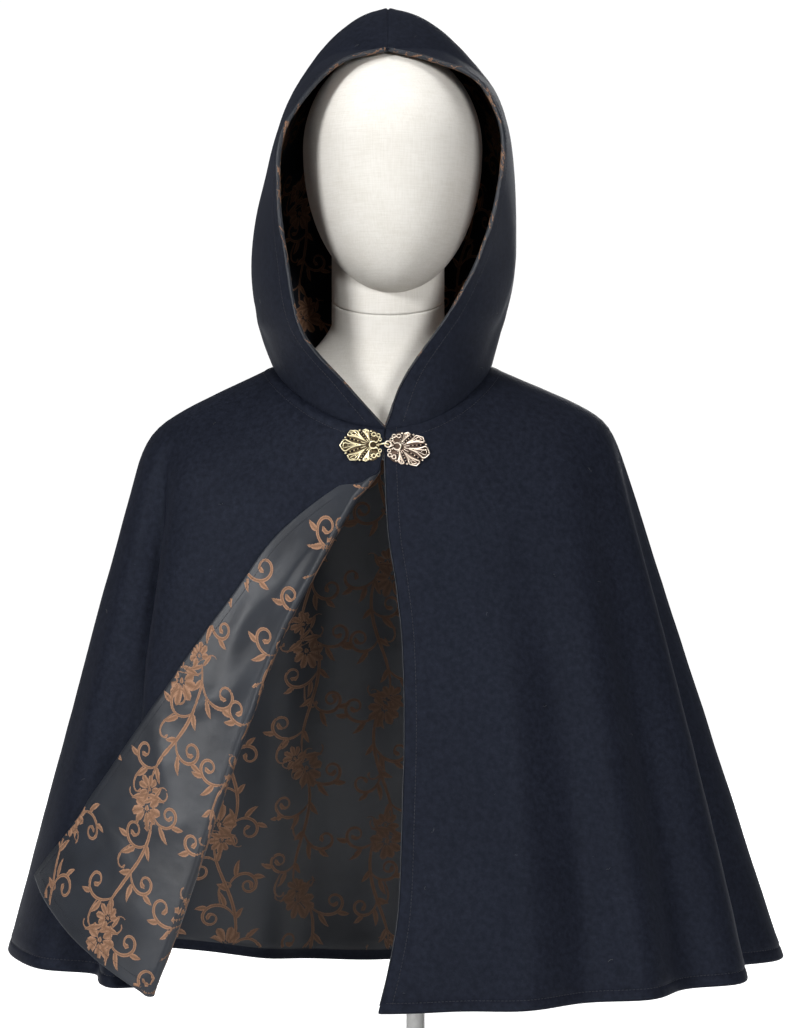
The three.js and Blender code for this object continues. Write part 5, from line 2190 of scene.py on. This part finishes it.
@dataclass
class Stand:
    """The painted stand: a round base, a foot, a pole and a flange under the form."""

    finishes: Finishes
    x: float = 24
    y: float = 20
    pole_radius: float = 8
    flange_radius: float = 32
    foot_radius: float = 20
    collar: tuple[float, float, float] = (60, 25, 2.4)
    sharp: float = 35
    base_radius: float = 145
    base_thick: float = 8
    bottom: float = 547
    sides: int = 72

    def turned(self, name: str, profile: list[tuple[float, float]], x: float, y: float) -> bpy.types.Object:
        """A piece turned round an upright axis, with its hard edges kept.

        Args:
            name: the piece's name.
            profile: pairs of radius and height.
            x: the axis's place.
            y: its other coordinate.

        Returns:
            The mesh object.
        """
        piece = make_mesh(name, *skin(lathe(profile, x, y, self.sides)), self.finishes.paint)
        piece.data.set_sharp_from_angle(angle=math.radians(self.sharp))
        return piece

    def build(self) -> None:
        """Builds the base and the pole."""
        top, edge = self.base_thick, 3.0
        round_edge = [
            (self.base_radius - edge + edge * math.cos(t), top - edge + edge * math.sin(t))
            for t in np.linspace(0, math.pi / 2, 7)
        ]
        base = self.turned(
            "stand_base_disc",
            [(0, 0), (self.base_radius - 0.6, 0), (self.base_radius, 0.6), *round_edge, (0, top)],
            0,
            0,
        )
        low, high = top + SEAM, self.bottom - SEAM
        foot = [(0, low), (self.foot_radius, low), (self.foot_radius, low + 4)]
        pole, flange = self.pole_radius, self.flange_radius
        foot += [
            (pole + (self.foot_radius - pole) * (1 - math.sin(t)), low + 4 + 6 * (1 - math.cos(t)))
            for t in np.linspace(0.2, math.pi / 2, 6)
        ]
        start, tall, out = self.collar
        foot += [
            (pole, low + start), (pole + out, low + start + 1),
            (pole + out, low + start + tall - 1), (pole, low + start + tall),
            (pole, high - 9), (flange - 1, high - 4), (flange, high - 3), (flange, high), (0, high),
        ]
        tube_piece = self.turned("stand_pole_tube", foot, self.x, self.y)
        declare(base, "stand", "stand_base")
        declare(tube_piece, "stand", "stand_pole")


@dataclass
class Studio:
    """The pale floor, the soft lights and the camera at the photograph's angle."""

    finishes: Finishes
    camera_place: tuple[float, float, float] = (0.0078, -2.6, 0.495)
    lens: float = 104.7
    ambient: float = 0.13
    floor_reach: float = 9
    wall_height: float = 7
    aim: tuple[float, float, float] = (0, 0, 0.52)
    lamps: tuple[tuple[str, tuple[float, float, float], float, float], ...] = (
        ("key", (-1.9, -2.1, 1.7), 0.6, 62),
        ("front", (1.0, -2.7, 1.05), 0.6, 44),
        ("top", (0.1, -0.6, 2.5), 1.0, 16),
        ("back", (0.4, 2.8, 1.3), 1.2, 28),
    )

    def light(self, name: str, place: tuple[float, float, float], size: float, power: float) -> None:
        """Sets up a square soft light that points at the cloak.

        Args:
            name: its name.
            place: where it stands, in metres.
            size: the length of its side.
            power: its power in watts.
        """
        data = bpy.data.lights.new(name, "AREA")
        data.size, data.energy = size, power
        lamp = bpy.data.objects.new(name, data)
        lamp.location = place
        lamp.rotation_euler = (Vector(self.aim) - Vector(place)).to_track_quat("-Z", "Y").to_euler()
        bpy.context.scene.collection.objects.link(lamp)

    def build(self) -> None:
        """Sets up the floor, the lights and the camera."""
        reach, wall = self.floor_reach * 1000, self.wall_height * 1000
        corners = np.array([(-reach, -reach, 0), (reach, -reach, 0), (reach, reach, 0), (-reach, reach, 0)])
        floor = make_mesh("floor", corners, [(0, 1, 2, 3)], self.finishes.floor)
        floor.visible_diffuse = False
        turn = np.linspace(0, 2 * np.pi, 48, endpoint=False)
        ring = np.stack([0.98 * reach * np.cos(turn), 0.98 * reach * np.sin(turn), 0 * turn], -1)
        rings = np.concatenate([ring, ring + (0, 0, wall)])
        sides = [(s, s + 48, (s + 1) % 48 + 48, (s + 1) % 48) for s in range(48)]
        backdrop = make_mesh("backdrop", rings, sides, self.finishes.backdrop)
        backdrop.visible_diffuse = backdrop.visible_glossy = backdrop.visible_shadow = False
        world = bpy.data.worlds.new("studio")
        world.use_nodes = True
        world.node_tree.nodes["Background"].inputs["Color"].default_value = (1, 1, 1, 1)
        world.node_tree.nodes["Background"].inputs["Strength"].default_value = self.ambient
        bpy.context.scene.world = world
        for lamp in self.lamps:
            self.light(*lamp)
        data = bpy.data.cameras.new("camera")
        data.lens, data.sensor_width = self.lens, 36
        data.clip_start, data.clip_end = 0.05, 60
        camera = bpy.data.objects.new("camera", data)
        camera.location = self.camera_place
        camera.rotation_euler = (math.radians(90), 0, 0)
        bpy.context.scene.collection.objects.link(camera)
        bpy.context.scene.camera = camera
        bpy.context.scene.view_settings.view_transform = "Standard"


def main() -> None:
    """Builds the cloak, its form, its stand and the studio."""
    logging.basicConfig(level=logging.INFO, format="%(name)s: %(message)s")
    finishes = Finishes()
    cape = CapeShape()
    DisplayForm(finishes, cape).build()
    Stand(finishes).build()
    Cloak(finishes, cape).build()
    Clasp(finishes, cape).build()
    Studio(finishes).build()


if __name__ == "__main__":
    main()
